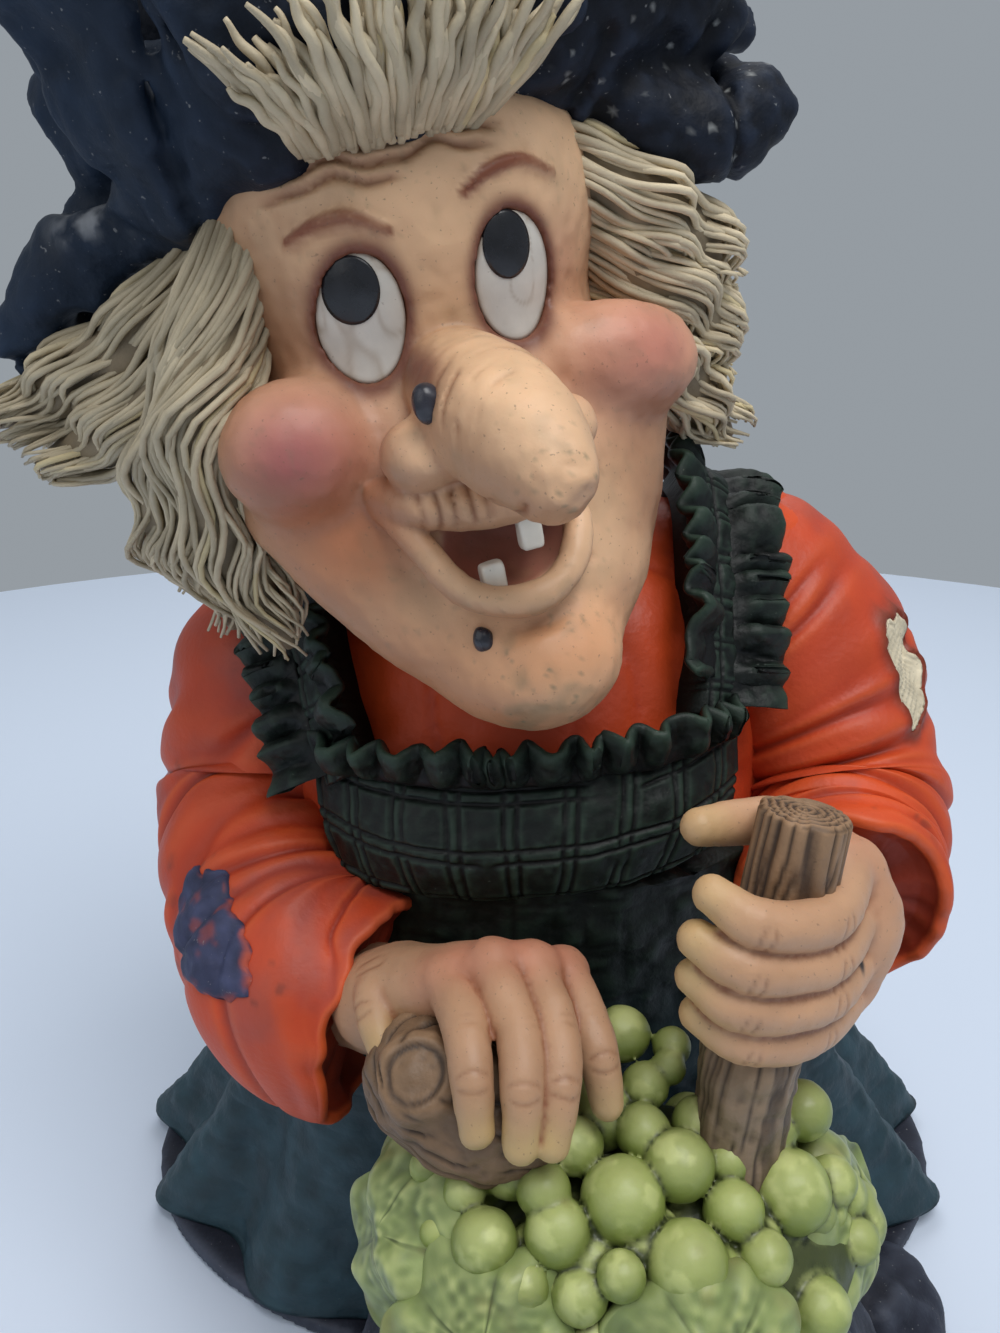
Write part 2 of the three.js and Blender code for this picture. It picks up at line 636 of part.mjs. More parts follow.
// Brim: a thick ring whose front is turned up and whose back droops, with a ragged edge torn in two places.
// Directions round it are in degrees from the front.
function brimRing(grow) {
  const steps = 3;
  const profile = [];
  for (let i = 0; i <= steps; i++) profile.push(new THREE.Vector2(1 + i / steps, -0.5));
  for (let i = steps; i >= 0; i--) profile.push(new THREE.Vector2(1 + i / steps, 0.5));
  profile.push(profile[0].clone());
  return shaped(new THREE.LatheGeometry(profile, 40), (p) => {
    const out = THREE.MathUtils.clamp(Math.hypot(p.x, p.z) - 1, 0, 1);
    const a = Math.atan2(p.x, p.z);
    const degrees = THREE.MathUtils.radToDeg(a);
    const front = degrees < 0
      ? THREE.MathUtils.smoothstep(degrees, tearLeft - 8, tearLeft + 9)
      : 1 - THREE.MathUtils.smoothstep(degrees, lobeRight - 26, lobeRight + 52);
    const ragged = 2.2 * Math.sin(9 * a + 1) + 1.6 * Math.sin(17 * a);
    const torn = tearDepth * (near(degrees, tearLeft, 7) + near(degrees, tearBack, 10));
    const reach = brimReach - brimShort * front + brimLobe * near(degrees, lobeRight, 20) - torn + ragged;
    const rise = THREE.MathUtils.lerp(brimDroop, brimTurnUp, front) + brimWave * Math.sin(brimWaves * a);
    const slope = Math.atan2(rise, reach - bandWide);
    const along = THREE.MathUtils.lerp(-grow, Math.hypot(rise, reach - bandWide) + grow, out);
    const thick = p.y * (brimThick + 2 * grow);
    const radial = bandWide + along * Math.cos(slope) - thick * Math.sin(slope);
    const height = bandHeight + along * Math.sin(slope) + thick * Math.cos(slope);
    return at(Math.sin(a) * radial, -Math.cos(a) * radial, height);
  });
}

// Folded lobes of the brim: the torn flap and two lumps on the left, the rolled edge and a corner
// on the right. Places are shares of the brim's reach and millimetres above the band.
function brim(grow) {
  const place = (x, y, z) => at(x * brimReach, y * brimReach, bandHeight + z);
  const lobe = (points, widths) => limb(points, widths, { sides: 7, rings: 3, caps: 1, grow });
  return join([
    brimRing(grow),
    lobe([place(-0.5, -0.02, -6), place(-0.65, 0.11, -5.5), place(-0.81, 0.21, -7), place(-0.92, 0.27, -13),
      place(-0.99, 0.31, -18)], [6, 6.2, 6.6, 5.2, 3.6]),
    lobe([place(-0.56, 0.06, 9), place(-0.61, 0.05, 19)], [7.5, 8]),
    lobe([place(-0.42, -0.32, 9), place(-0.48, -0.23, 12), place(-0.54, -0.13, 10)], [7, 8, 7.5]),
    lobe([place(0.61, -0.32, -3), place(0.76, -0.3, -8), place(0.89, -0.27, -9.5), place(0.98, -0.25, -7)],
      [6.5, 7.6, 7.8, 6.6]),
    lobe([place(0.77, -0.1, 9), place(0.97, -0.07, 9), place(1.06, -0.06, 7)], [6, 5.6, 4.2]),
  ]);
}

// Crown: a slumped cone that bends backwards to its tip.
function crown(grow) {
  const top = bandHeight + crownHigh;
  const ripple = (t, angle) => 0.07 * Math.sin(3 * angle + 9 * t) * Math.sin(Math.PI * t);
  return limb(
    [at(0, 3, bandHeight + 9), at(0, 5, bandHeight + 0.45 * crownHigh),
      at(2, 12, bandHeight + 0.8 * crownHigh), at(6, crownBend - 8, top), at(9, crownBend + 4, top - 6)],
    [1, 0.8, 0.5, 0.24, 0.1].map((w) => w * crownRound),
    { sides: 13, rings: 6, caps: 1, up: at(0, 1, 0), grow, ripple },
  );
}

// Fringe: tapered tufts that fan out from the hairline, up over the turned-up brim.
function fringe(grow) {
  const hairline = (across) => at(fringeHalf * across, fringeBow * across ** 2 - bandDeep - 1, bandHeight);
  const tufts = [];
  for (let i = 0; i < fringeCount; i++) {
    const across = (2 * i) / (fringeCount - 1) - 1;
    const root = hairline(across);
    const lift = at(fringeFan * across, -0.55, 1 - 0.3 * across ** 2).setLength(fringeLong);
    const bow = root.clone().addScaledVector(lift, 0.5).add(at(0, -3.5, 0));
    const widths = [1, 1.15, 0.75].map((w) => w * fringeRound);
    tufts.push(limb([root, bow, root.clone().add(lift)], widths, { sides: 4, rings: 2, caps: 1, grow }));
  }
  const widths = [1.2, 1.7, 1.2].map((w) => w * fringeRound);
  const roots = limb([-1, 0, 1].map(hairline), widths, { sides: 5, rings: 3, caps: 1, grow });
  return join([roots, ...tufts]);
}

// Hair: locks that start inside the head and flow out from under the hat.
function lock(points, scale, grow) {
  const widths = [1, 1.15, 1, 0.6].map((w) => w * scale * lockRound);
  return limb(points, widths, { sides: 7, rings: 4, caps: 1, grow });
}
const hairLeft = (grow) => join([
  lock([at(-22, -5, 17), at(-40, 5, 9), at(-57, 14, 2), at(-70, 20, -3)], 1.1, grow),
  lock([at(-25, -10, 9), at(-40, 0, -3), at(-54, 10, -8), at(-64, 18, -10)], 1, grow),
  lock([at(-25, -12, 4), at(-39, -5, -10), at(-48, 5, -22), at(-46, 9, -33)], 1.1, grow),
  lock([at(-26, -14, -2), at(-36, -10, -16), at(-42, -3, -29), at(-41, -2, -40)], 1, grow),
  lock([at(-26, -14, -8), at(-33, -13, -23), at(-36, -10, -34), at(-32, -11, -42)], 0.8, grow),
]);
const hairRight = (grow) => join([
  lock([at(22, -8, 22), at(38, -14, 18), at(49, -15, 12), at(54, -13, 3)], 1, grow),
  lock([at(22, -6, 12), at(38, -12, 8), at(49, -12, -3), at(52, -10, -14)], 1, grow),
  lock([at(22, -4, -2), at(38, -9, -9), at(49, -9, -20), at(55, -8, -29)], 1.1, grow),
]);
function hairBack(grow) {
  const points = [at(0, 12, 18), at(0, 27, 4), at(1, 33, -12), at(2, 32, -27)];
  const widths = [3.6, 4.6, 4.8, 4.2].map((w) => w * lockRound);
  const ripple = (t, angle) => 0.05 * Math.cos(8 * angle);
  return limb(points, widths, { sides: 16, rings: 4, caps: 1, flat: 0.5, up: at(0, 1, 0.2), grow, ripple });
}

// Assembly: each piece is cut by those that it seats on, grown by the clearance.
const figure = new THREE.Group();
const headGroup = new THREE.Group();
headGroup.applyMatrix4(headFrame);
figure.add(headGroup);

function add(group, name, solid, colour, roughness = 0.6) {
  const mesh = solid.getMesh();
  const geometry = new THREE.BufferGeometry();
  geometry.setAttribute('position', new THREE.BufferAttribute(mesh.vertProperties, 3));
  geometry.setIndex(new THREE.BufferAttribute(mesh.triVerts, 1));
  geometry.computeVertexNormals();
  const paint = new THREE.MeshStandardMaterial({ color: colour, roughness, metalness: 0 });
  const piece = new THREE.Mesh(geometry, paint);
  piece.name = name;
  group.add(piece);
}

const navy = '#1f2230';
const green = '#2c3a33';
const orange = '#c9501f';
const skin = '#d9ab80';
const straw = '#b9ad92';
const bark = '#7a5c3e';
const lime = '#a5b45c';
const cream = '#cfc4ab';
const chalk = '#e9e4d8';
const black = '#15151a';

const inlays = (grow) => [
  ...mirrored((side) => eye(side, grow)), ...mirrored((side) => pupil(side, grow)),
  toothUpper(grow), toothLower(grow), wartNose(grow), wartChin(grow),
];
const headWorld = fromHead(headShape(fit));
const arms = [sleeve(armLeft, 2 * fit), sleeve(armRight, 2 * fit)];
const straps = [strap(strapRoutes.left, fit), strap(strapRoutes.right, fit)];
const dress = [...straps, ...Object.values(frills).map((each) => frill(each, fit))];
const wood = [stake(fit), knot(fit)];

add(figure, 'base', base(0), navy, 0.8);
add(figure, 'skirt', cut(skirt(0), [base(fit), torso(fit)]), green);
add(figure, 'torso', cut(torso(0), [headWorld]), orange);
add(figure, 'bib', cut(bib(0), [torso(fit), skirt(fit), ...arms]), green);
for (const [side, arm, hand] of [['left', armLeft, handLeft], ['right', armRight, handRight]]) {
  const inlay = side === 'right' ? [tear(fit)] : [];
  add(figure, `sleeve_${side}`, cut(sleeve(arm, 0),
    [torso(fit), skirt(fit), cuffMouth(arm), hand(fit), ...inlay, headWorld]), orange);
}
add(figure, 'elbow_patch', patch(), navy);
add(figure, 'shoulder_lining', cut(tear(0).intersect(sleeve(armRight, -tearSink)), [torso(fit)]), cream);
for (const side of ['left', 'right']) {
  const seats = [torso(fit), skirt(fit), ...arms, bib(fit), headWorld];
  add(figure, `strap_${side}`, cut(strap(strapRoutes[side], 0), seats), green);
}
const frillNames = Object.keys(frills);
frillNames.forEach((name, i) => {
  const earlier = frillNames.slice(0, i).map((other) => frill(frills[other], fit));
  add(figure, name, cut(frill(frills[name], 0),
    [torso(fit), ...arms, bib(fit), headWorld, ...straps, ...earlier]), green);
});
add(figure, 'hand_left', cut(handLeft(0), [knot(fit), skirt(fit)]), skin);
add(figure, 'hand_right', cut(handRight(0), [stake(fit)]), skin);
add(figure, 'stake', stake(0), bark, 0.8);
add(figure, 'wood_knot', cut(knot(0), [stake(fit)]), bark, 0.8);
const hands = [handLeft(fit), handRight(fit)];
add(figure, 'grapes', cut(grapes(0), [base(fit), skirt(fit), ...wood, ...hands]), lime, 0.45);
const onHeap = (x, y, z) => at(x * heapWide, y * heapDeep, z * heapHigh).add(heapCentre);
const leaves = {
  leaf_left: [onHeap(-0.975, -0.333, 0.59), at(-0.75, -0.45, 0.5), at(-0.3, -0.5, -0.8), leafSize],
  leaf_front_left: [onHeap(-0.6, -0.963, 0.364), at(-0.2, -0.9, 0.4), at(0, -0.4, -0.9), leafSize],
  leaf_front: [onHeap(0.225, -1.07, 0.364), at(0.1, -0.9, 0.45), at(0.1, -0.4, -0.9), leafSize + 2],
  leaf_right: [onHeap(0.95, -0.037, 0.318), at(0.8, -0.3, 0.5), at(0.5, -0.2, -0.8), leafSize],
};
const leafNames = Object.keys(leaves);
leafNames.forEach((name, i) => {
  const earlier = leafNames.slice(0, i).map((other) => leaf(leaves[other], fit));
  add(figure, name, cut(leaf(leaves[name], 0),
    [grapes(fit), base(fit), skirt(fit), ...wood, ...hands, ...earlier]), lime, 0.5);
});

add(headGroup, 'head', cut(headShape(0), [mouth(), ...inlays(fit)]), skin);
for (const [side, name] of [[-1, 'left'], [1, 'right']]) {
  add(headGroup, `eye_${name}`, cut(eye(side, 0), [pupil(side, fit)]), chalk, 0.35);
  add(headGroup, `pupil_${name}`, pupil(side, 0), black, 0.3);
}
add(headGroup, 'tooth_upper', toothUpper(0), chalk, 0.4);
add(headGroup, 'tooth_lower', toothLower(0), chalk, 0.4);
add(headGroup, 'wart_nose', wartNose(0), black);
add(headGroup, 'wart_chin', wartChin(0), black);
const carried = [...arms, torso(fit), ...dress].map(inHead);
add(headGroup, 'hat_brim', cut(brim(0), [headShape(fit), ...carried]), navy);
add(headGroup, 'hat_crown', cut(crown(0), [headShape(fit), brim(fit)]), navy);
const hat = [brim(fit), crown(fit)];
const tresses = { hair_fringe: fringe, hair_left: hairLeft, hair_right: hairRight, hair_back: hairBack };
const tressNames = Object.keys(tresses);
tressNames.forEach((name, i) => {
  const earlier = tressNames.slice(0, i).map((other) => tresses[other](fit));
  add(headGroup, name, cut(tresses[name](0), [headShape(fit), ...hat, ...carried, ...earlier]), straw);
});

export default figure;
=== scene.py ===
import bpy
import itertools
import math
import numpy as np
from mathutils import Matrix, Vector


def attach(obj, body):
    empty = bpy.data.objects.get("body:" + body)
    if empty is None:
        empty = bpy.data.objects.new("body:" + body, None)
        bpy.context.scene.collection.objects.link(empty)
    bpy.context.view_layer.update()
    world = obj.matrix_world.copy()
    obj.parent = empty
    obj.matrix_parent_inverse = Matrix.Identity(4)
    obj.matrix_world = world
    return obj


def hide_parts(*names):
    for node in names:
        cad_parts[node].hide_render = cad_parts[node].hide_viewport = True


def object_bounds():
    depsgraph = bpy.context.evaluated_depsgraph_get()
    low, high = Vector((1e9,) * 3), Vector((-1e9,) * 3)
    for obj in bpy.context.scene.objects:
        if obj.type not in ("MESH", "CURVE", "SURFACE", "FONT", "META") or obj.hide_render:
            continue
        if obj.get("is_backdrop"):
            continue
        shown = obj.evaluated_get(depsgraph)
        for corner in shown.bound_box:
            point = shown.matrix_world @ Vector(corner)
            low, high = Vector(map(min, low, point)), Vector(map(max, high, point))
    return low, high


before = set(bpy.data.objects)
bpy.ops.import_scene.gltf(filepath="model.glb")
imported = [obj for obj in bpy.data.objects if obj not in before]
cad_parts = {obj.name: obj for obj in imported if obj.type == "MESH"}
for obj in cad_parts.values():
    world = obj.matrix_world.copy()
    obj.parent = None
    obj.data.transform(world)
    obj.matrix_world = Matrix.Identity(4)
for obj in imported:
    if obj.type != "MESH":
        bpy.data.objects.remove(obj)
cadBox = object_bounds()
mm = 0.001
print("frame loaded:", len(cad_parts), "nodes")


# lattice value: whole numbers mixed into one number from 0 to 1
def latticeValue(cell, seed):
    n = cell[..., 0] * 73856093 ^ cell[..., 1] * 19349663 ^ cell[..., 2] * 83492791 ^ (seed * 2654435 + 12345)
    n = (n ^ (n >> 13)) * 1274126177 & 0x7FFFFFFF
    n = (n ^ (n >> 15)) * 668265263 & 0x7FFFFFFF
    return ((n ^ (n >> 16)) & 0xFFFF) / 65535.0


# lumps from -1 to 1: lattice values mixed by smooth weights, one lump each size mm
def lumps(p, size, seed):
    q = np.asarray(p, float) / size + 200.0
    cell = np.floor(q).astype(np.int64)
    t = q - cell
    t = t * t * (3 - 2 * t)
    total = 0.0
    for corner in itertools.product((0, 1), repeat=3):
        weight = np.prod(np.where(np.array(corner, bool), t, 1 - t), axis=-1)
        total = total + weight * latticeValue(cell + np.array(corner), seed)
    return 2 * total - 1


# grit: lumps of halving size and height added up
def grit(p, size, octaves, seed):
    return sum(lumps(p, size / 2**i, seed + i) / 2**i for i in range(octaves))


# a smooth step from 0 to 1 between two values
def step(x, low, high):
    t = np.clip((x - low) / (high - low), 0, 1)
    return t * t * (3 - 2 * t)


# a bell: 1 where the value is 0, fading over a width
def bell(value, width):
    return np.exp(-((value / width) ** 2))


# a glow: 1 at a place, fading over a reach
def glow(points, place, reach):
    return np.exp(-(((points - np.array(place)) / reach) ** 2).sum(-1))


# stripes: a bell at the middle of every pitch
def stripes(value, pitch, width):
    return bell(np.mod(value, pitch) - pitch / 2, width)


# a colour given as shades of 0 to 255, made linear
def shade(r, g, b):
    c = np.array([r, g, b]) / 255.0
    return np.where(c <= 0.04045, c / 12.92, ((c + 0.055) / 1.055) ** 2.4)


# colour mixing: a towards b by the weight of each point
def tint(a, b, weight):
    return a + (np.asarray(b) - a) * np.clip(weight, 0, 1)[..., None]


# one paint for all the points, mottled by grit
def mottled(points, paint, amount, size, octaves, seed):
    return paint * (1 + amount * grit(points, size, octaves, seed))[:, None]


# a wash of light and shade: what stands out is brushed with one paint as a painted highlight and hollows are
# filled with another as painted shade, each given as its paint, strength and limit
def washedLightAndShade(colour, hollow, brushedHighlight, filledShade):
    for depth, (paint, strength, limit) in ((-hollow, brushedHighlight), (hollow, filledShade)):
        colour = tint(colour, paint, np.clip(depth * strength, 0, limit))
    return colour


# stains: soft spots of a piece's paints laid over its colours
def stained(colour, points, piece, stains):
    for paint, place, reach, strength in stains:
        colour = tint(colour, piece[paint], strength * glow(points, place, reach))
    return colour


def unit(v):
    return v / np.maximum(np.linalg.norm(v, axis=-1, keepdims=True), 1e-9)


# Catmull-Rom curve through the rows of points, taken at n even steps
def curve(points, n):
    p = np.asarray(points, float)
    ends = 2 * p[..., :1, :] - p[..., 1:2, :], 2 * p[..., -1:, :] - p[..., -2:-1, :]
    p = np.concatenate([ends[0], p, ends[1]], axis=-2)
    s = np.linspace(0, p.shape[-2] - 3, n)
    i = np.minimum(s.astype(int), p.shape[-2] - 4)
    t = (s - i)[:, None]
    a, b, c, d = (p[..., i + k, :] for k in range(4))
    return b + 0.5 * t * (c - a + t * (2 * a - 5 * b + 4 * c - d + t * (3 * (b - c) + d - a)))


# length of a curve through the points, measured in 80 steps
def lengthOf(points):
    return np.linalg.norm(np.diff(curve(points, 80)[:, :3], axis=0), axis=1).sum()


# the three directions along a path: along it, across it and over it
def pathFrame(path, up):
    along = unit(np.gradient(path, axis=-2))
    across = unit(np.cross(along, np.asarray(up, float)))
    return along, across, np.cross(across, along)


# rows of a table read at shares of its length
def rowsAt(table, share):
    even = np.linspace(0, 1, len(table))
    return np.stack([np.interp(share, even, column) for column in table.T], -1)


# even angles once round
def ringAngles(count):
    return np.linspace(0, 2 * np.pi, count, endpoint=False)


# points of a unit circle at the angles, raised to a height
def circle(a, height=0.0):
    return np.stack(np.broadcast_arrays(np.cos(a), np.sin(a), height), -1)


# spokes: the ways out from a path, at each of the angles round it
def spokes(a, across, over):
    return np.cos(a)[:, None] * across[..., None, :] + np.sin(a)[:, None] * over[..., None, :]


# quads of a grid of rows by columns, joined round where wrap says so, for a count of such grids
def gridFaces(rows, columns, wrap=False, count=1):
    i = np.arange(rows - 1)[:, None] * columns
    j = np.arange(columns if wrap else columns - 1)[None, :]
    k = (j + 1) % columns
    quads = np.stack([i + j, i + k, i + columns + k, i + columns + j], -1).reshape(-1, 4)
    return (quads[None] + (np.arange(count) * rows * columns)[:, None, None]).reshape(-1, 4)


# point normals: the sum of the face normals round each point
def normalsOf(points, faces):
    total = np.zeros_like(points)
    for f in faces:
        n = np.cross(points[f[:, 1]] - points[f[:, 0]], points[f[:, -1]] - points[f[:, 0]])
        for axis in range(3):
            total[:, axis] += np.bincount(f.ravel(), np.repeat(n[:, axis], f.shape[1]), len(points))
    return unit(total)


def pushed(points, faces, height):
    return points + normalsOf(points, faces) * height[:, None]


def flipped(faces):
    return [f[:, ::-1] for f in faces]


# a closed skin over rows that go round, facing out, the first and last row drawn together into a pole
def poled(grid):
    rows, columns = grid.shape[:2]
    points = np.vstack([grid.reshape(-1, 3), grid[0].mean(0), grid[-1].mean(0)])
    ring = np.arange(columns)
    nextRing = np.roll(ring, -1)
    last, pole = (rows - 1) * columns, np.full(columns, rows * columns)
    foot = np.stack([last + ring, last + nextRing, pole + 1], -1)
    faces = [gridFaces(rows, columns, True), np.stack([nextRing, ring, pole], -1), foot]
    inward = ((points - points.mean(0)) * normalsOf(points, faces)).sum() < 0
    return points, flipped(faces) if inward else faces


# hollows: the mean of a point's neighbours measured along its normal, over the square of their distance
def hollows(points, faces, normals, passes):
    pairs = np.concatenate([np.stack([f, np.roll(f, -1, 1)], -1).reshape(-1, 2) for f in faces])
    i = np.concatenate([pairs[:, 0], pairs[:, 1]])
    j = np.concatenate([pairs[:, 1], pairs[:, 0]])
    many = np.maximum(np.bincount(i, minlength=len(points)), 1)
    mean = np.stack([np.bincount(i, points[j, k], len(points)) for k in range(3)], -1) / many[:, None]
    apart = np.bincount(i, ((points[j] - points[i]) ** 2).sum(1), len(points)) / many
    hollow = ((mean - points) * normals).sum(1) / np.maximum(apart, 1e-6)
    for _ in range(passes):
        hollow = 0.5 * hollow + 0.5 * np.bincount(i, hollow[j], len(points)) / many
    return hollow


# clay: a grid of distances to a surface, negative inside, that forms are added to and cut from
def newClay(low, high, pitch):
    size = np.ceil(np.subtract(high, low) / pitch).astype(int) + 1
    return {"low": np.array(low, float), "pitch": pitch, "value": np.full(size, 50.0, np.float32)}


# the part of the clay between two corners, as slices, and the places of its grid points
def clayRegion(clay, low, high):
    size = clay["value"].shape
    start = np.clip(np.floor((low - clay["low"]) / clay["pitch"]).astype(int), 0, size)
    stop = np.clip(np.ceil((high - clay["low"]) / clay["pitch"]).astype(int) + 1, 0, size)
    axes = [clay["low"][k] + clay["pitch"] * np.arange(start[k], stop[k]) for k in range(3)]
    return tuple(slice(a, b) for a, b in zip(start, stop)), np.stack(np.meshgrid(*axes, indexing="ij"), -1)


def clayPlaces(clay):
    return clayRegion(clay, clay["low"], clay["low"] + clay["pitch"] * np.array(clay["value"].shape))[1]


# smooth union: where two distances are closer than soft, the lower of them is lowered further
def meld(a, b, soft):
    if soft <= 0:
        return np.minimum(a, b)
    h = np.clip(0.5 + 0.5 * (b - a) / soft, 0, 1)
    return b + (a - b) * h - soft * h * (1 - h)


# ellipsoid distance: how far outside the unit ball, over the slope
def ballField(p, centre, radii):
    q = (p - centre) / radii
    size = np.linalg.norm(q, axis=-1)
    return size * (size - 1) / np.maximum(np.linalg.norm(q / radii, axis=-1), 1e-6)


# limb distance: to the nearest of its straight pieces, less the radius there
def limbField(p, route):
    best = np.full(p.shape[:-1], 50.0)
    for a, b in zip(route[:-1], route[1:]):
        d = b[:3] - a[:3]
        t = np.clip(((p - a[:3]) @ d) / (d @ d), 0, 1)
        apart = np.linalg.norm(p - a[:3] - t[..., None] * d, axis=-1)
        best = np.minimum(best, apart - a[3] - t * (b[3] - a[3]))
    return best


def addField(clay, low, high, soft, cut, field, *form):
    where, p = clayRegion(clay, low - soft - 2, high + soft + 2)
    old, new = clay["value"][where], field(p, *form)
    clay["value"][where] = -meld(-old, new, soft) if cut else meld(old, new, soft)


def addBall(clay, centre, radii, soft=0.0, cut=False):
    centre, radii = np.array(centre, float), np.array(radii, float)
    addField(clay, centre - radii, centre + radii, soft, cut, ballField, centre, radii)


def addLimb(clay, route, soft=0.0, cut=False, parts=9):
    fine = curve(route, parts)
    wide = fine[:, 3:].max()
    addField(clay, fine[:, :3].min(0) - wide, fine[:, :3].max(0) + wide, soft, cut, limbField, fine)


# skin of the clay: one point in each cell that the surface crosses, at the mean of the crossings of
# the cell's edges, and one quad round each grid edge that the surface crosses
def skinOf(clay):
    value = clay["value"]
    inside = value < 0
    size = np.array(value.shape) - 1
    corners = np.array(list(itertools.product((0, 1), repeat=3)))

    def cells(grid, corner):
        return grid[tuple(slice(c, c + n) for c, n in zip(corner, size))]

    many = sum(cells(inside, corner).astype(np.uint8) for corner in corners)
    crossed = (many > 0) & (many < 8)
    place = np.argwhere(crossed)
    number = np.full(crossed.shape, -1, np.int64)
    number[crossed] = np.arange(len(place))
    at = [cells(value, corner)[crossed].astype(float) for corner in corners]
    total, hits = np.zeros((len(place), 3)), np.zeros(len(place))
    for a, b in itertools.combinations(range(8), 2):
        edge = corners[b] - corners[a]
        if np.abs(edge).sum() == 1:
            hit = (at[a] < 0) != (at[b] < 0)
            t = np.where(hit, at[a] / np.where(hit, at[a] - at[b], 1.0), 0.0)
            total += np.where(hit[:, None], corners[a] + t[:, None] * edge, 0.0)
            hits += hit
    points = clay["low"] + (place + total / hits[:, None]) * clay["pitch"]
    quads = []
    for axis in range(3):
        others = [k for k in range(3) if k != axis]
        lower = np.moveaxis(inside, axis, 0)
        changes = lower[:-1] != lower[1:]
        edges, leaves = np.argwhere(changes), lower[:-1][changes]
        spot = np.zeros_like(edges)
        spot[:, [axis, *others]] = edges
        free = ((spot[:, others] > 0) & (spot[:, others] < size[others])).all(1)
        spot, leaves = spot[free], leaves[free]
        ring = []
        for b, c in ((-1, -1), (0, -1), (0, 0), (-1, 0)):
            q = spot.copy()
            q[:, (axis + 1) % 3] += b
            q[:, (axis + 2) % 3] += c
            ring.append(number[tuple(q.T)])
        quad = np.stack(ring, -1)
        quad[~leaves] = quad[~leaves][:, ::-1]
        quads.append(quad)
    return points, [np.concatenate(quads)]


# the first place where a line along +Y from the front meets the clay, for each x and z
def frontOf(clay, x, z):
    value, low, pitch = clay["value"], clay["low"], clay["pitch"]
    u, w = (np.asarray(x, float) - low[0]) / pitch, (np.asarray(z, float) - low[2]) / pitch
    i = np.clip(u.astype(int), 0, value.shape[0] - 2)
    k = np.clip(w.astype(int), 0, value.shape[2] - 2)
    s, t = (u - i)[..., None], (w - k)[..., None]
    lower = value[i, :, k] * (1 - s) + value[i + 1, :, k] * s
    upper = value[i, :, k + 1] * (1 - s) + value[i + 1, :, k + 1] * s
    line = lower * (1 - t) + upper * t
    j = np.maximum(np.argmax(line < 0, axis=-1), 1)
    a = np.take_along_axis(line, (j - 1)[..., None], -1)[..., 0]
    b = np.take_along_axis(line, j[..., None], -1)[..., 0]
    return low[1] + (j - 1 + a / np.maximum(a - b, 1e-6)) * pitch


# an object in the scene, at a place given in mm
def placed(name, data, place=(0, 0, 0), turn=(0, 0, 0)):
    ob = bpy.data.objects.new(name, data)
    ob.location = np.array(place) * mm
    ob.rotation_euler = turn
    bpy.context.scene.collection.objects.link(ob)
    return ob


# a finished piece: its mesh with painted points, its finish and the node that it stands for
def makePiece(name, points, faces, colours, finish, node):
    mesh = bpy.data.meshes.new(name)
    corners = np.concatenate([f.ravel() for f in faces]).astype(np.int32)
    counts = np.concatenate([np.full(len(f), f.shape[1]) for f in faces])
    mesh.vertices.add(len(points))
    mesh.vertices.foreach_set("co", (points * mm).astype(np.float32).ravel())
    mesh.loops.add(len(corners))
    mesh.loops.foreach_set("vertex_index", corners)
    mesh.polygons.add(len(counts))
    mesh.polygons.foreach_set("loop_start", (np.cumsum(counts) - counts).astype(np.int32))
    mesh.polygons.foreach_set("use_smooth", np.ones(len(counts), bool))
    rgba = np.ones((len(points), 4), np.float32)
    rgba[:, :3] = np.clip(colours, 0, 1)
    mesh.color_attributes.new("paint", "FLOAT_COLOR", "POINT").data.foreach_set("color", rgba.ravel())
    mesh.update(calc_edges=True)
    mesh.materials.append(paints[finish])
    ob = placed(name, mesh)
    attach(ob, "root")
    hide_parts(node)
    print("piece", name, len(points), "points")


# painted resin: the piece's own colours, mottled, with specks, a fine grain and an uneven sheen
def resinPaint(name, look):
    finish = bpy.data.materials.new(name)
    finish.use_nodes = True
    tree = finish.node_tree

    # inputs are linked where a socket is given and set where a value is given
    def fill(node, inputs):
        for key, value in inputs.items():
            if isinstance(value, bpy.types.NodeSocket):
                tree.links.new(value, node.inputs[key])
            else:
                node.inputs[key].default_value = value

    def make(kind, inputs, **settings):
        node = tree.nodes.new("ShaderNode" + kind)
        for key, value in settings.items():
            setattr(node, key, value)
        fill(node, inputs)
        return node

    coords = make("TexCoord", {}).outputs["Object"]

    def noise(scale, detail):
        return make("TexNoise", {"Vector": coords, "Scale": scale, "Detail": detail}).outputs["Fac"]

    def spread(value, low, high, newLow, newHigh):
        ends = {"From Min": low, "From Max": high, "To Min": newLow, "To Max": newHigh}
        return make("MapRange", {"Value": value, **ends}).outputs["Result"]

    paint = make("Attribute", {}, attribute_name="paint").outputs["Color"]
    cloud = noise(look["cloud"], 5.0)
    level = spread(cloud, 0.3, 0.7, 1 - look["mottle"], 1 + look["mottle"])
    base = make("VectorMath", {0: paint, "Scale": level}, operation="SCALE").outputs["Vector"]
    spots = spread(noise(look["dust"], 2.0), look["spots"], look["spots"] + 0.06, 0.0, look["spotted"])
    speckled = make("Mix", {0: spots, 6: base, 7: (*look["speck"], 1)}, data_type="RGBA").outputs[2]
    height = noise(look["grain"], 6.0)
    bump = make("Bump", {"Strength": look["relief"], "Distance": look["depth"], "Height": height})
    fill(tree.nodes["Principled BSDF"], {
        "Base Color": speckled, "Roughness": spread(cloud, 0.3, 0.7, *look["rough"]),
        "Normal": bump.outputs["Normal"], "Specular IOR Level": look["gloss"],
        "Subsurface Weight": look["soft"], "Subsurface Radius": look["bleed"],
    })
    return finish


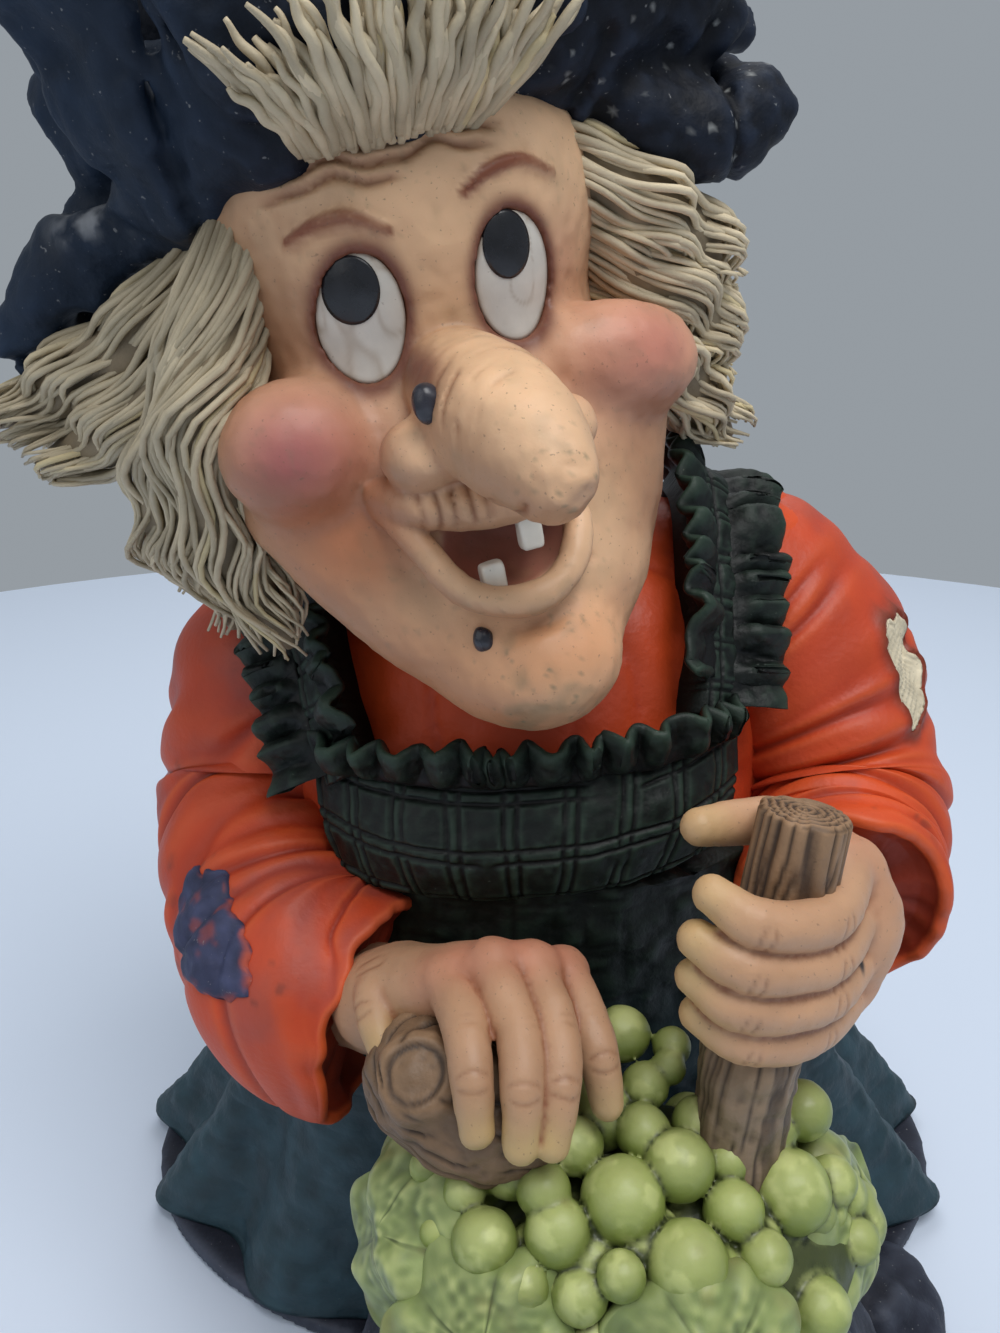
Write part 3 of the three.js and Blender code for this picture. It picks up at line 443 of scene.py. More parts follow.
lookNames = ("cloud", "mottle", "dust", "spots", "spotted", "speck", "rough", "grain", "relief", "depth",
             "gloss", "soft", "bleed")
hard = (0.0, (0.004, 0.002, 0.001))     # no light passes under the surface
fleshy, juicy = (0.06, (0.003, 0.0012, 0.0006)), (0.12, (0.002, 0.003, 0.0008))
finishes = {
    "skin": (90, 0.08, 1500, 0.68, 0.5, (0.16, 0.10, 0.06), (0.42, 0.56), 1500, 0.18, 0.0003, 0.45, *fleshy),
    "navy": (60, 0.22, 1100, 0.70, 0.5, (0.30, 0.30, 0.30), (0.5, 0.68), 650, 0.45, 0.0006, 0.2, *hard),
    "green": (110, 0.22, 1300, 0.74, 0.35, (0.14, 0.17, 0.13), (0.46, 0.64), 800, 0.4, 0.0005, 0.3, *hard),
    "orange": (70, 0.10, 1000, 0.75, 0.5, (0.20, 0.03, 0.01), (0.42, 0.56), 750, 0.28, 0.0005, 0.38, *hard),
    "hair": (160, 0.14, 900, 0.72, 0.25, (0.20, 0.16, 0.10), (0.5, 0.66), 2200, 0.35, 0.0003, 0.32, *hard),
    "bark": (140, 0.20, 1100, 0.70, 0.4, (0.05, 0.03, 0.015), (0.45, 0.62), 1200, 0.4, 0.0004, 0.36, *hard),
    "grape": (130, 0.10, 1000, 0.76, 0.4, (0.16, 0.13, 0.03), (0.36, 0.5), 1300, 0.15, 0.0003, 0.45, *juicy),
    "eye": (300, 0.06, 1200, 0.72, 0.5, (0.22, 0.18, 0.14), (0.28, 0.42), 900, 0.15, 0.0002, 0.5, *hard),
    "black": (300, 0.2, 1500, 0.75, 0.3, (0.05, 0.05, 0.06), (0.22, 0.34), 900, 0.2, 0.0002, 0.5, *hard),
    "lining": (200, 0.15, 1200, 0.68, 0.5, (0.2, 0.15, 0.09), (0.6, 0.75), 1500, 0.5, 0.0004, 0.3, *hard),
}
paints = {name: resinPaint(name + "Paint", dict(zip(lookNames, look))) for name, look in finishes.items()}
print("finishes mixed:", len(paints))

# stage: a pale round table top, soft lamps and the camera where the photograph was taken
stage = {
    "tableRadius": 620.0, "tableDrop": 0.2, "tableShade": shade(210, 221, 237), "tableRough": 0.85,
    "wallShade": (0.30, 0.33, 0.36), "aim": (0, -10, 130),
    "lamps": [((190, -320, 900), 540, 5.7), ((-620, -420, 560), 800, 1.3), ((60, 520, 820), 600, 2.2)],
    "eye": (-9.6, -206.4, 212.0), "pitch": 70.0, "sensor": 36, "focal": 36 * 1150 / 1333,
}
rim = circle(ringAngles(96)) * stage["tableRadius"] * mm
tableMesh = bpy.data.meshes.new("tableTop")
tableMesh.from_pydata(rim.tolist(), [], [list(range(len(rim)))])
tablePaint = bpy.data.materials.new("tablePaint")
tablePaint.use_nodes = True
tableInputs = tablePaint.node_tree.nodes["Principled BSDF"].inputs
tableInputs["Base Color"].default_value = (*stage["tableShade"], 1)
tableInputs["Roughness"].default_value = stage["tableRough"]
tableMesh.materials.append(tablePaint)
tableTop = placed("tableTop", tableMesh, (0, 0, -stage["tableDrop"]))
tableTop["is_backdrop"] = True
for i, (place, size, power) in enumerate(stage["lamps"]):
    lamp = bpy.data.lights.new("lamp%d" % i, "AREA")
    lamp.size, lamp.energy = size * mm, power
    x, y, z = np.subtract(stage["aim"], place)
    placed("lamp%d" % i, lamp, place, (math.atan2(math.hypot(x, y), -z), 0, math.atan2(-x, y)))
wall = bpy.data.worlds.new("wall")
bpy.context.scene.world = wall
wall.use_nodes = True
wall.node_tree.nodes["Background"].inputs["Color"].default_value = (*stage["wallShade"], 1)
camera = bpy.data.cameras.new("camera")
camera.lens, camera.sensor_width, camera.clip_start = stage["focal"], stage["sensor"], 0.01
bpy.context.scene.camera = placed("camera", camera, stage["eye"], (math.radians(stage["pitch"]), 0, 0))
bpy.context.scene.view_settings.view_transform = "Standard"
print("stage set")

# head: clay forms in the head's own frame, the face looking along -Y; balls are given as centre, radii and
# softness, points of limbs as place and radius, eyes as x, z, half width, half height and lean
head = {
    "centre": (-25.6, -2.4, 196.9), "turn": 18.0, "lean": -10.8, "nod": -1.4,
    "low": (-46, -73, -63), "high": (50, 40, 56), "pitch": 0.66,
    "mass": [((0, 1, 11), (32, 34, 41), 0), ((2.5, -9, 22), (30, 26, 24), 8),
             ((1.5, -16, -14), (36, 21.5, 16), 9), ((1.5, -22, -27), (30, 19, 14), 9),
             ((2, -29, -38), (22, 15.5, 12), 9), ((1, -40.5, -47), (12.8, 11.4, 10.2), 5)],
    "jaw": [[(-27, -21, -19, 8), (-16.5, -30, -36, 7), (-6, -36, -46, 8)],
            [(28, -19, -20, 7), (18.5, -27, -37, 7), (6, -36, -46.5, 8)]],
    "neck": [(1.5, 2, -10, 17), (9, 16, -55, 14)],
    "cheekLeft": ((-26, -28.2, -9), (11.2, 10.6, 10.5), 3.2),
    "cheekRight": [(19, -28.5, -5.6, 7.6), (25.5, -28.2, -6.6, 9.0), (32, -25, -8.6, 8.4)],
    "muzzle": ((-0.5, -35.5, -18.2), (17, 10.5, 5.6), 2.2),
    "nose": [(-1, -28, -3.4, 7.4), (-1, -38, -5, 8.6), (-1, -47, -7.2, 9.5), (0, -54, -9.8, 9.0),
             (0.8, -58.5, -11.8, 7.6), (1.2, -61.5, -13.6, 6.0)],
    "tip": ((1.2, -62, -15.4), (4.4, 4.4, 4), 3.0),
    "wings": [((-10.3, -41.5, -11.6), (6.2, 6.8, 5.4), 2.0), ((10.3, -41.5, -12.5), (5.6, 6.2, 5), 2.0)],
    "mouth": ((-1.4, -48, -25.5), (11.6, 11.5, 8.2), 0.7),
    "crease": [(-16.5, -38.5, -27.5, 0.4), (-12.6, -44, -34.0, 1.1), (-6.5, -47, -37.4, 1.5),
               (0, -47.8, -38.2, 1.6), (6, -46.8, -36.9, 1.3), (11.5, -42.5, -32, 0.4)],
    "lip": [(-16.8, -36, -18.6, 1.8), (-14.2, -41.2, -22.8, 2.2), (-11.8, -44.8, -27.8, 2.2),
            (-8.8, -46.7, -31.6, 2.3), (-3.4, -47.9, -34.0, 2.4), (2.4, -47.8, -33.9, 2.4),
            (7, -46.5, -31.3, 2.3), (9.8, -44, -27, 2.1), (11, -40, -22.4, 1.8)],
    "upperLip": [(-17, -36, -16.6, 1.8), (-12.4, -41.6, -18.2, 3.2), (-6.5, -43.6, -19.4, 3.6),
                 (0, -44.2, -20, 3.7), (6, -43, -20.4, 3.5), (11.2, -39.5, -20.4, 2.2)],
    "brows": [[(-20, 19.3, 0.45), (-16, 20.8, 0.75), (-11.5, 20.9, 0.85), (-6.8, 18.2, 0.5)],
              [(4.4, 21.0, 0.5), (8.6, 23.2, 0.85), (14, 23.8, 0.8), (19.2, 21.4, 0.45)]],
    "eyes": {"left": (-12.4, 7.2, 6.1, 9.1, 4), "right": (10.6, 8.6, 6.4, 9.1, 3)},
    "socket": 1.3, "bulge": 1.1, "eyeSink": 0.75, "eyeThick": 3.0, "eyeGap": 0.15,
    "pupil": (3.8, 4.7), "pupilThick": 1.6, "pupilPlace": {"left": (-13.2, 11.4), "right": (9.8, 13.2)},
    "foreheadFolds": [(25.0, -13, 11), (27.3, -5, 17), (29.7, 0, 14)], "noseTip": ((2, -65, -14), 5),
    "skin": shade(218, 177, 139), "ruddy": shade(188, 112, 72), "blush": shade(184, 96, 90),
    "bruiseAndShade": shade(150, 78, 86), "shadeWash": shade(132, 80, 50), "brow": shade(128, 72, 48),
    "rim": shade(108, 56, 40), "inside": shade(170, 108, 90), "dirt": shade(112, 108, 84),
    "warm": shade(206, 132, 84),
    # blush on both cheeks; the purple-brown spot on the left cheek is a bruise tint that also paints shade
    # there
    "rosy": [("blush", (-26, -34.2, -8.5), (12.24, 11.547, 11.547), 0.74),
             ("blush", (28, -33, -5.6), (15.011, 12.124, 10.161), 0.74),
             ("blush", (21, -30, 9), 6, 0.25), ("bruiseAndShade", (-28, -38, -9.5), 7.5, 0.85)],
    # painted shade under the right jaw and below the left cheek, with a ruddy tint on the left jaw and temple
    "shadowed": [("shadeWash", (26, -26, -29), 13, 0.9), ("shadeWash", (-21, -35, -24), 10, 0.7),
                 ("ruddy", (-23, -34, -22), 10.5, 0.55), ("ruddy", (-31, -22, 2), 7.5, 0.55)],
}
turns = [math.radians(head[k]) for k in ("turn", "lean", "nod")]
c, s = np.cos(turns), np.sin(turns)
turned = np.array([[c[0], -s[0], 0], [s[0], c[0], 0], [0, 0, 1]])
leant = np.array([[c[1], 0, s[1]], [0, 1, 0], [-s[1], 0, c[1]]])
nodded = np.array([[1, 0, 0], [0, c[2], -s[2]], [0, s[2], c[2]]])
headTurn = turned @ leant @ nodded


def fromHead(p):
    return np.asarray(p) @ headTurn.T + np.array(head["centre"])


def leaned(u, w, degrees):
    c, s = math.cos(math.radians(degrees)), math.sin(math.radians(degrees))
    return u * c + w * s, w * c - u * s


# share of an upright ellipse that a point of the face lies at, 1 on its edge
def eyeShare(x, z, eye):
    u, w = leaned(x - eye[0], z - eye[1], -eye[4])
    return np.hypot(u / eye[2], w / eye[3])


face = newClay(head["low"], head["high"], head["pitch"])
for ball in head["mass"]:
    addBall(face, *ball)
for route in head["jaw"]:
    addLimb(face, route, soft=5)
plain = {**face, "value": face["value"].copy()}     # the face before its features
addBall(face, *head["cheekLeft"])
addLimb(face, head["cheekRight"], soft=3.0, parts=12)
addLimb(face, head["neck"], soft=6)
addBall(face, *head["muzzle"])
addLimb(face, head["nose"], soft=1.1, parts=16)
for ball in (head["tip"], *head["wings"]):
    addBall(face, *ball)
addLimb(face, head["crease"], soft=1.2, cut=True, parts=14)
addBall(face, *head["mouth"], cut=True)
addLimb(face, head["lip"], soft=0.8, parts=22)
addLimb(face, head["upperLip"], soft=1.0, parts=22)
browRoutes = []
for brow in head["brows"]:
    x, z, r = np.array(brow).T
    browRoutes.append(np.stack([x, frontOf(plain, x, z) - 0.1, z, r], -1))
    addLimb(face, browRoutes[-1], soft=1.0, parts=14)
# sockets: the skin inside each eye's outline is sunk
for eye in head["eyes"].values():
    x, z, wide = eye[:3]
    where, p = clayRegion(face, (x - 9, -45, z - 12), (x + 9, -20, z + 12))
    edge = (eyeShare(p[..., 0], p[..., 2], eye) - 1) * wide
    old = face["value"][where]
    face["value"][where] = np.maximum(old, meld(old + head["socket"], -edge, 0.4))
points, faces = skinOf(face)
x, y, z = points.T
onFace = step(-y, 8, 20)
# forehead: three wavy folds; nose: rings round its ridge; lip: short upright creases
waves = z - 0.8 * np.sin(0.42 * x + 0.8) - 0.3 * np.sin(0.9 * x) + 0.02 * x
fold = np.zeros(len(points))
for level, middle, reach in head["foreheadFolds"]:
    fold += bell(waves - level, 0.55) * step(reach - np.abs(x - middle), 0, 5) * onFace
onNose = (np.abs(x - 1) < 12) * (z < 5) * step(z, -11, -4) * step(-y, 46, 49) * step(y, -60, -55)
ridge = -y - 0.35 * np.abs(x - 1.2) + 0.6 * lumps(points, 6, 3)
noseFold = stripes(ridge, 3.4, 0.4) * onNose * step(lumps(points, 4, 7), -0.3, 0.4)
onLip = step(6.6 - np.abs(x + 7.6), 0, 2) * step(-z, 15.5, 16.6) * step(z, -22.6, -20.8) * step(-y, 40, 42)
lipFold = stripes(x + 0.3 + 0.3 * lumps(points, 4, 4), 2.3, 0.36) * onLip
noseTip = glow(points, *head["noseTip"])
height = 0.22 * grit(points, 7, 3, 5) + 0.10 * lumps(points, 1.6, 9)
height = height + 0.5 * noseTip * grit(points, 2.4, 2, 12)
height = (height - 0.9 * fold - 0.5 * noseFold - 0.6 * lipFold) * step(-y, -10, 6)
points = pushed(points, faces, height)
normals = normalsOf(points, faces)
hollow = hollows(points, faces, normals, 3)
# colours: peach skin, rosy cheeks, brown painted shade on the side away from the light, under the jaw and
# in hollows and folds, painted brows and rims, dirt on nose and chin
colour = mottled(points, head["skin"], 0.08, 12, 2, 21)
warm = 0.55 * step(-z, 8, 30) * step(lumps(points, 14, 31), -0.5, 0.7)
colour = tint(colour, head["warm"], warm + 0.35 * glow(points, (-27, -24, -22), 8))
colour = stained(colour, points, head, head["rosy"])
# painted shade: the skin turns browner where it faces away from the light
lit = normals @ np.array([0.25, -0.75, 0.6])
colour = tint(colour, head["shadeWash"], 0.5 * step(0.85 - lit, 0.0, 0.75) * onFace)
colour = stained(colour, points, head, head["shadowed"])
# painted shade in the hollows and in the folds of forehead, nose and lip
colour = tint(colour, head["shadeWash"], np.clip(hollow * 2.4, 0, 0.8) * onFace)
colour = tint(colour, head["shadeWash"], np.clip(fold * 0.62 + noseFold * 0.4 + lipFold * 0.7, 0, 0.8))
colour = colour * (1 - 0.10 * np.clip(-hollow * 3, -0.6, 0))[:, None]
for route in browRoutes:
    colour = tint(colour, head["brow"], step(-limbField(points, curve(route, 14)), -0.5, 0.15))
for eye in head["eyes"].values():
    colour = tint(colour, head["rim"], 0.95 * bell((eyeShare(x, z, eye) - 1.05) * eye[2], 1.15) * (y < -22))
mouthCentre, mouthRadii = np.array(head["mouth"][0]), np.array(head["mouth"][1])
inMouth = step(-ballField(points, mouthCentre, mouthRadii * 1.05), -0.1, 0.6)
for rim in ("lip", "upperLip"):
    inMouth = inMouth * step(limbField(points, curve(head[rim], 22)), 0.15, 0.8)
colour = tint(colour, mottled(points, head["inside"], 0.25, 3, 1, 8), inMouth)
dirtPlace = glow(points, (0, -50, -48), 11) + 1.1 * noseTip + 0.25 * onFace
dirtSpots = step(lumps(points, 0.9, 41), 0.62, 0.8) * 0.6 + step(grit(points, 5, 3, 43), 0.1, 0.9) * 0.55
colour = tint(colour, head["dirt"], np.clip(dirtPlace, 0, 1) * dirtSpots)
makePiece("headSkin", fromHead(points), faces, colour, "skin", "head")


# dome: lies inside an outline on the eye's own shallow dome over the face before its features; its back is
# its front moved in
def dome(outline, eye, lift, bulge, back, rows=18, columns=64):
    r = np.linspace(0.03, 1, rows)[:, None]
    a = ringAngles(columns)
    u, w = leaned(outline[2] * r * np.cos(a), outline[3] * r * np.sin(a), outline[4])
    x, z = outline[0] + u, outline[1] + w
    eyeFront = frontOf(plain, x, z) + head["eyeSink"] - head["bulge"] * (1 - eyeShare(x, z, eye) ** 2)
    front = np.stack([x, eyeFront - lift - bulge * (1 - r**2), z], -1)
    return poled(np.concatenate([front, front[::-1] + np.array([0, back, 0])]))


for side, eye in head["eyes"].items():
    outline = (*eye[:2], eye[2] - head["eyeGap"], eye[3] - head["eyeGap"], eye[4])
    points, faces = dome(outline, eye, lift=0.0, bulge=0.0, back=head["eyeThick"])
    crack = bell(lumps(points * np.array([1, 1, 0.45]), 4, 54), 0.07)
    # near its rim the white is darker: painted shade where it meets the socket
    rimShade = step(eyeShare(points[:, 0], points[:, 2], eye), 0.86, 1.0)
    colour = mottled(points, shade(206, 200, 190), 0.05, 4, 2, 51)
    colour = tint(colour, shade(150, 128, 104), 0.4 * crack + 0.5 * rimShade)
    makePiece("eyeWhite" + side.title(), fromHead(points), faces, colour, "eye", "eye_" + side)
    outline = (*head["pupilPlace"][side], *head["pupil"], eye[4])
    points, faces = dome(outline, eye, lift=0.14, bulge=0.3, back=head["pupilThick"], rows=10, columns=40)
    colour = mottled(points, shade(24, 25, 30), 0.3, 2, 2, 57)
    makePiece("pupil" + side.title(), fromHead(points), faces, colour, "black", "pupil_" + side)


# rounded block or pebble: a sphere whose sines and cosines are raised to a power
def pebble(centre, half, power=1.0, rows=16, columns=28):
    def bend(q):
        return np.sign(q) * np.abs(q) ** power

    v = np.linspace(0.06, math.pi - 0.06, rows)[:, None]
    a = ringAngles(columns)
    sides = bend(np.sin(v)) * bend(np.cos(a)), bend(np.sin(v)) * bend(np.sin(a))
    return poled(np.stack([*sides, np.broadcast_to(bend(np.cos(v)), (rows, columns))], -1) * half + centre)


teeth = {
    "toothUpper": ("tooth_upper", (2.2, -44.4, -25.0), (1.75, 1.4, 3.0)),
    "toothLower": ("tooth_lower", (-4.7, -45.0, -30.4), (1.8, 1.4, 2.3)),
}
for name, (node, centre, half) in teeth.items():
    points, faces = pebble(centre, half, power=0.35)
    points = points + 0.12 * lumps(points, 1.5, 61)[:, None]
    colour = mottled(points, shade(232, 226, 212), 0.08, 1.2, 1, 62)
    makePiece(name, fromHead(points), faces, colour, "eye", node)
chinX, chinZ = -7.8, -39.4
chinY = float(frontOf(plain, [chinX], [chinZ])[0]) + 0.2
warts = {
    "wartNose": ("wart_nose", (-9.6, -48.3, -3.8), (2.2, 2.1, 2.8)),
    "wartChin": ("wart_chin", (chinX, chinY, chinZ), (1.6, 1.6, 2.0)),
}
for name, (node, centre, half) in warts.items():
    points, faces = pebble(centre, half)
    points = points + 0.25 * lumps(points, 1.7, 65)[:, None] * unit(points - np.array(centre))
    colour = mottled(points, shade(46, 46, 54), 0.35, 0.9, 1, 66)
    makePiece(name, fromHead(points), faces, colour, "black", node)
print("head done")

# blouse: the trunk under the pinafore, two sleeves with creases, a patch and a torn place; a spot on a
# sleeve is given as place, half width and half height
blouse = {
    "low": (-72, -34, 62), "high": (64, 64, 176), "pitch": 1.5,
    "trunk": [((-4, 15, 112), (50, 44, 52), 0), ((0, 6, 140), (40, 24, 22), 8)],
    "yoke": [(-46, 17, 132, 19), (-4, 17, 141, 19), (38, 17, 150, 19)], "tuck": 0.06,
    "left": {
        "arm": [(-40, 20, 136, 19), (-54, 17, 128, 23), (-57, 10, 106, 23), (-55, -8, 94.5, 21),
                (-46, -24, 86, 21.5), (-32, -31, 83.5, 19.5)],
        "seed": 3, "bend": 0.55, "hue": 0.45, "hang": (-2.5, 0, -4.5), "spot": ((-60, -28, 98), 8.5, 10.0),
    },
    "right": {
        "arm": [(30, 19, 150, 19), (42, 17, 143, 23), (54, 11, 125, 23), (58, 2, 108, 22), (56, -10, 101, 20),
                (54, -21, 99, 19)],
        "seed": 8, "bend": 0.5, "hue": 0.42, "hang": (1.5, 0, -2.0), "spot": ((70, -3, 137), 6.0, 6.6),
    },
    "wall": 2.6, "pocket": 3.0, "crease": 1.9, "up": (1, 0.5, 0), "armRound": 22.0, "ragged": 0.22,
    "orange": shade(205, 74, 28), "red": shade(160, 50, 34), "pale": shade(222, 106, 54),
    "plum": shade(112, 70, 72), "soot": shade(74, 40, 40), "torn": shade(98, 46, 36),
    "inside": shade(120, 42, 28),
}
trunk = newClay(blouse["low"], blouse["high"], blouse["pitch"])
for ball in blouse["trunk"]:
    addBall(trunk, *ball)
addLimb(trunk, blouse["yoke"], soft=6)
points, faces = skinOf(trunk)
normals = normalsOf(points, faces)
# below the waist the trunk is drawn in
tucked = 1 - blouse["tuck"] * step(-points[:, 2], -110, -104)
middle = np.array(blouse["trunk"][0][0][:2])
points[:, :2] = middle + (points[:, :2] - middle) * tucked[:, None]
draws = bell(lumps(points * np.array([1, 1, 0.4]), 9, 71), 0.16)
points = points + normals * (0.3 * grit(points, 6, 2, 72) - 0.9 * draws)[:, None]
hollow = hollows(points, faces, normalsOf(points, faces), 2)
colour = mottled(points, blouse["orange"], 0.07, 14, 2, 73)
# redder in the hollows as painted shade, and redder below the chest
colour = tint(colour, blouse["red"], np.clip(hollow * 5, 0, 0.8) + 0.45 * step(-points[:, 2], -134, -118))
# painted shadow of the chin on the chest
colour = tint(colour, blouse["red"] * 0.6, 0.5 * glow(points, (4, -25, 138), 17))
makePiece("blouseTrunk", points, faces, colour, "orange", "torso")


# sleeve: circles carried down the arm; creases run round it where a lump pattern crosses zero
def sleeveAt(sleeve, t, a, lift=0.0):
    path = curve(sleeve["arm"], 240)
    along, across, over = pathFrame(path[:, :3], blouse["up"])
    centre = rowsAt(path, t)
    spoke = np.cos(a)[..., None] * unit(rowsAt(across, t)) + np.sin(a)[..., None] * unit(rowsAt(over, t))
    around = np.stack([np.cos(a) * 0.75 + 9 * t, np.sin(a) * 0.75 + 3 * t, 6 * t], -1)
    crease = bell(lumps(around, 1.0, sleeve["seed"]), 0.13)
    crease = crease * step(t, 0.1, 0.3) * step(1 - t, 0.0, 0.1) * (1 - 0.5 * step(t, 0.6, 0.8))
    elbow = bell(t - sleeve["bend"] + 0.05 * np.sin(a), 0.02)
    tuck = bell(t - sleeve["bend"] - 0.09 + 0.04 * np.cos(a), 0.018)
    size = centre[..., 3] + 0.9 * grit(around, 0.8, 2, sleeve["seed"] + 5) - blouse["crease"] * crease
    size = size - 1.6 * (elbow + 0.7 * tuck) * (0.6 + 0.4 * np.sin(a + 2)) + lift
    return centre[..., :3] + size[..., None] * spoke, spoke, rowsAt(along, t)


# a sleeve's spot: the share down the arm and the angle nearest its place, the arm's length, its half sizes
def sleeveSpot(sleeve):
    place, wide, high = sleeve["spot"]
    t, a = np.meshgrid(np.linspace(0, 1, 120), np.linspace(0, 2 * np.pi, 120), indexing="ij")
    k = np.argmin(((sleeveAt(sleeve, t, a)[0] - np.array(place)) ** 2).sum(-1))
    return t.ravel()[k], a.ravel()[k], lengthOf(sleeve["arm"]), wide, high


def raggedEdge(way, seed):
    return 1 + blouse["ragged"] * grit(circle(way), 0.5, 3, seed)


# how far a sleeve point lies from the sleeve's spot, 1 on an uneven oval outline
def spotShare(sleeve, t, a):
    spotT, spotA, length, wide, high = sleeveSpot(sleeve)
    down = (t - spotT) * length / high
    turn = np.angle(np.exp(1j * (a - spotA))) * blouse["armRound"] / wide
    return np.hypot(down, turn) / raggedEdge(np.arctan2(down, turn), sleeve["seed"])


rows, columns = 170, 150
for side in ("left", "right"):
    sleeve = blouse[side]
    t, a = np.meshgrid(np.linspace(0, 1, rows), ringAngles(columns), indexing="ij")
    skin, spoke, along = sleeveAt(sleeve, t, a)
    hem = grit(circle(a), 0.7, 3, sleeve["seed"] + 20)
    skin = skin + along * (step(t, 0.86, 1.0) * 2.4 * hem)[..., None]
    # the cuff hangs at its low side
    sag = step(t, 0.76, 0.98) * step(-spoke[..., 2], 0.1, 0.9)
    skin = skin + np.array(sleeve["hang"]) * sag[..., None]
    share = spotShare(sleeve, t, a)
    if side == "right":
        skin = skin + spoke * (0.7 * bell(share - 1.12, 0.12) - 2.6 * step(1 - share, -0.02, 0.06))[..., None]
    # the cuff's rim turns in and runs back up inside as the pocket's wall
    rim = [skin[-1] - spoke[-1] * d + along[-1] * b for d, b in ((0.5, 0.5), (1.4, 0.7), (2.1, 0.3))]
    wall = [skin[-1] - spoke[-1] * (blouse["wall"] + 3.0 * d**2) - along[-1] * blouse["pocket"] * d
            for d in np.linspace(0, 1, 12)[1:]]
    points, faces = poled(np.concatenate([skin, rim, wall]))
    hollow = hollows(points, faces, normalsOf(points, faces), 2)
    colour = mottled(points, blouse["orange"], 0.07, 16, 2, 75)
    colour = tint(colour, blouse["red"], sleeve["hue"] + 0.3 * grit(points, 20, 3, 76))
    plummy = step(grit(points, 13, 4, 77), 0.1, 0.9) * (0.25 + sleeve["hue"])
    colour = tint(colour, blouse["plum"], 0.6 * plummy)
    sooty = step(grit(points, 3, 2, 78), 0.55, 0.95) * step(grit(points, 17, 2, 79), 0.0, 0.6)
    colour = tint(colour, blouse["soot"], 0.5 * sooty)
    # painted highlight on the raised folds and painted shade, dark red, in the creases
    colour = washedLightAndShade(colour, hollow, (blouse["pale"], 3, 0.4), (blouse["red"] * 0.55, 4, 0.85))
    if side == "right":
        torn = np.zeros(len(points))
        torn[:rows * columns] = bell(share - 1.1, 0.2).ravel()
        colour = tint(colour, blouse["torn"], 0.85 * torn)
    # the inside of the cuff is painted darker: painted shade in the opening
    inner = np.arange(len(points)) >= (rows + len(rim)) * columns
    colour = tint(colour, blouse["inside"], 0.7 * inner)
    makePiece("sleeve" + side.title(), points, faces, colour, "orange", "sleeve_" + side)


# a patch laid on a sleeve's spot: rings of an uneven oval, lifted off the sleeve, closed underneath
def patchOn(sleeve, lift, sink, rows=26, columns=90):
    spotT, spotA, length, wide, high = sleeveSpot(sleeve)
    r = np.concatenate([np.linspace(0.04, 1, rows), np.linspace(1.0, 0.04, rows)])[:, None]
    way = ringAngles(columns)
    reach = r * raggedEdge(way, sleeve["seed"])
    t = spotT + reach * np.sin(way) * high / length
    a = spotA + reach * np.cos(way) * wide / blouse["armRound"]
    up = np.where(np.arange(2 * rows)[:, None] < rows, lift * (1 - r**10) + 0.25, -sink)
    points, faces = poled(sleeveAt(sleeve, t, a, up)[0])
    return points, faces, np.append(np.broadcast_to(r, t.shape), [0, 0])


points, faces, r = patchOn(blouse["left"], lift=1.1, sink=1.5)
points = pushed(points, faces, 0.45 * grit(points, 3.5, 3, 81))
colour = mottled(points, shade(56, 60, 84), 0.45, 3, 3, 82)
colour = tint(colour, shade(150, 70, 58), 0.5 * step(grit(points, 4, 3, 84), 0.25, 0.8))
colour = tint(colour, shade(190, 84, 52), 0.8 * step(r, 0.86, 1.0) * step(lumps(points, 2.2, 83), -0.1, 0.5))
makePiece("elbowPatch", points, faces, colour, "navy", "elbow_patch")
points, faces = patchOn(blouse["right"], lift=-1.0, sink=4.0)[:2]
weave = 0.25 * np.sin(points[:, 2] * 4.2 + points[:, 1]) * np.sin(points[:, 1] * 4.5 - points[:, 2])
points = pushed(points, faces, weave)
# lighter on the raised weave and darker between the threads: painted light and shade, with a little mottling
colour = shade(206, 194, 168) * (1 + 0.4 * weave + 0.12 * grit(points, 3, 2, 85))[:, None]
makePiece("tornLining", points, faces, colour, "lining", "shoulder_lining")
print("blouse done")

# pinafore: skirt, bib, straps and frills in dark green with an incised double check; hem and waist are
# given as middle, half width and half depth, the bib in degrees round and up the body's egg
pinafore = {
    "check": 10.5, "double": 2.3, "line": 0.42, "cut": 0.715,
    "hem": ((1, 27), 93, 65), "waist": ((-2, 15), 50, 46), "waistHigh": 106, "foot": 4.3, "flare": 1.7,
    "folds": 11, "foldDepth": 0.06, "skirtTurn": 72, "skirtDrop": 112,
    "body": ((-4, 15, 112), (50, 44, 52)), "bibSpan": (-52, 50), "bibRise": (-8, 17), "bibTilt": 7,
    "thick": 2.4, "puff": 2.6, "sink": 4.0, "strapWide": 8.0, "strapSink": 8.0,
    "chest": (-4, 15, 120), "frillGrid": (420, 22),
    "strapLeft": [(-24, 57, 108), (-35, 50, 130), (-47, 32, 150), (-49, 12, 157), (-47, -5, 149),
                  (-43, -16, 136), (-38, -23, 124)],
    "strapRight": [(14, 57, 108), (22, 51, 130), (29, 32, 165), (30, 12, 172), (30, -2, 164), (30, -13, 149),
                   (29, -20, 135)],
    "green": shade(15, 22, 19), "dark": shade(6, 8, 8), "edge": shade(46, 64, 52), "teal": shade(44, 68, 78),
}


def doubleLines(q):
    pitch, wide = pinafore["check"], pinafore["line"]
    return np.maximum(stripes(q, pitch, wide), stripes(q + pinafore["double"], pitch, wide))


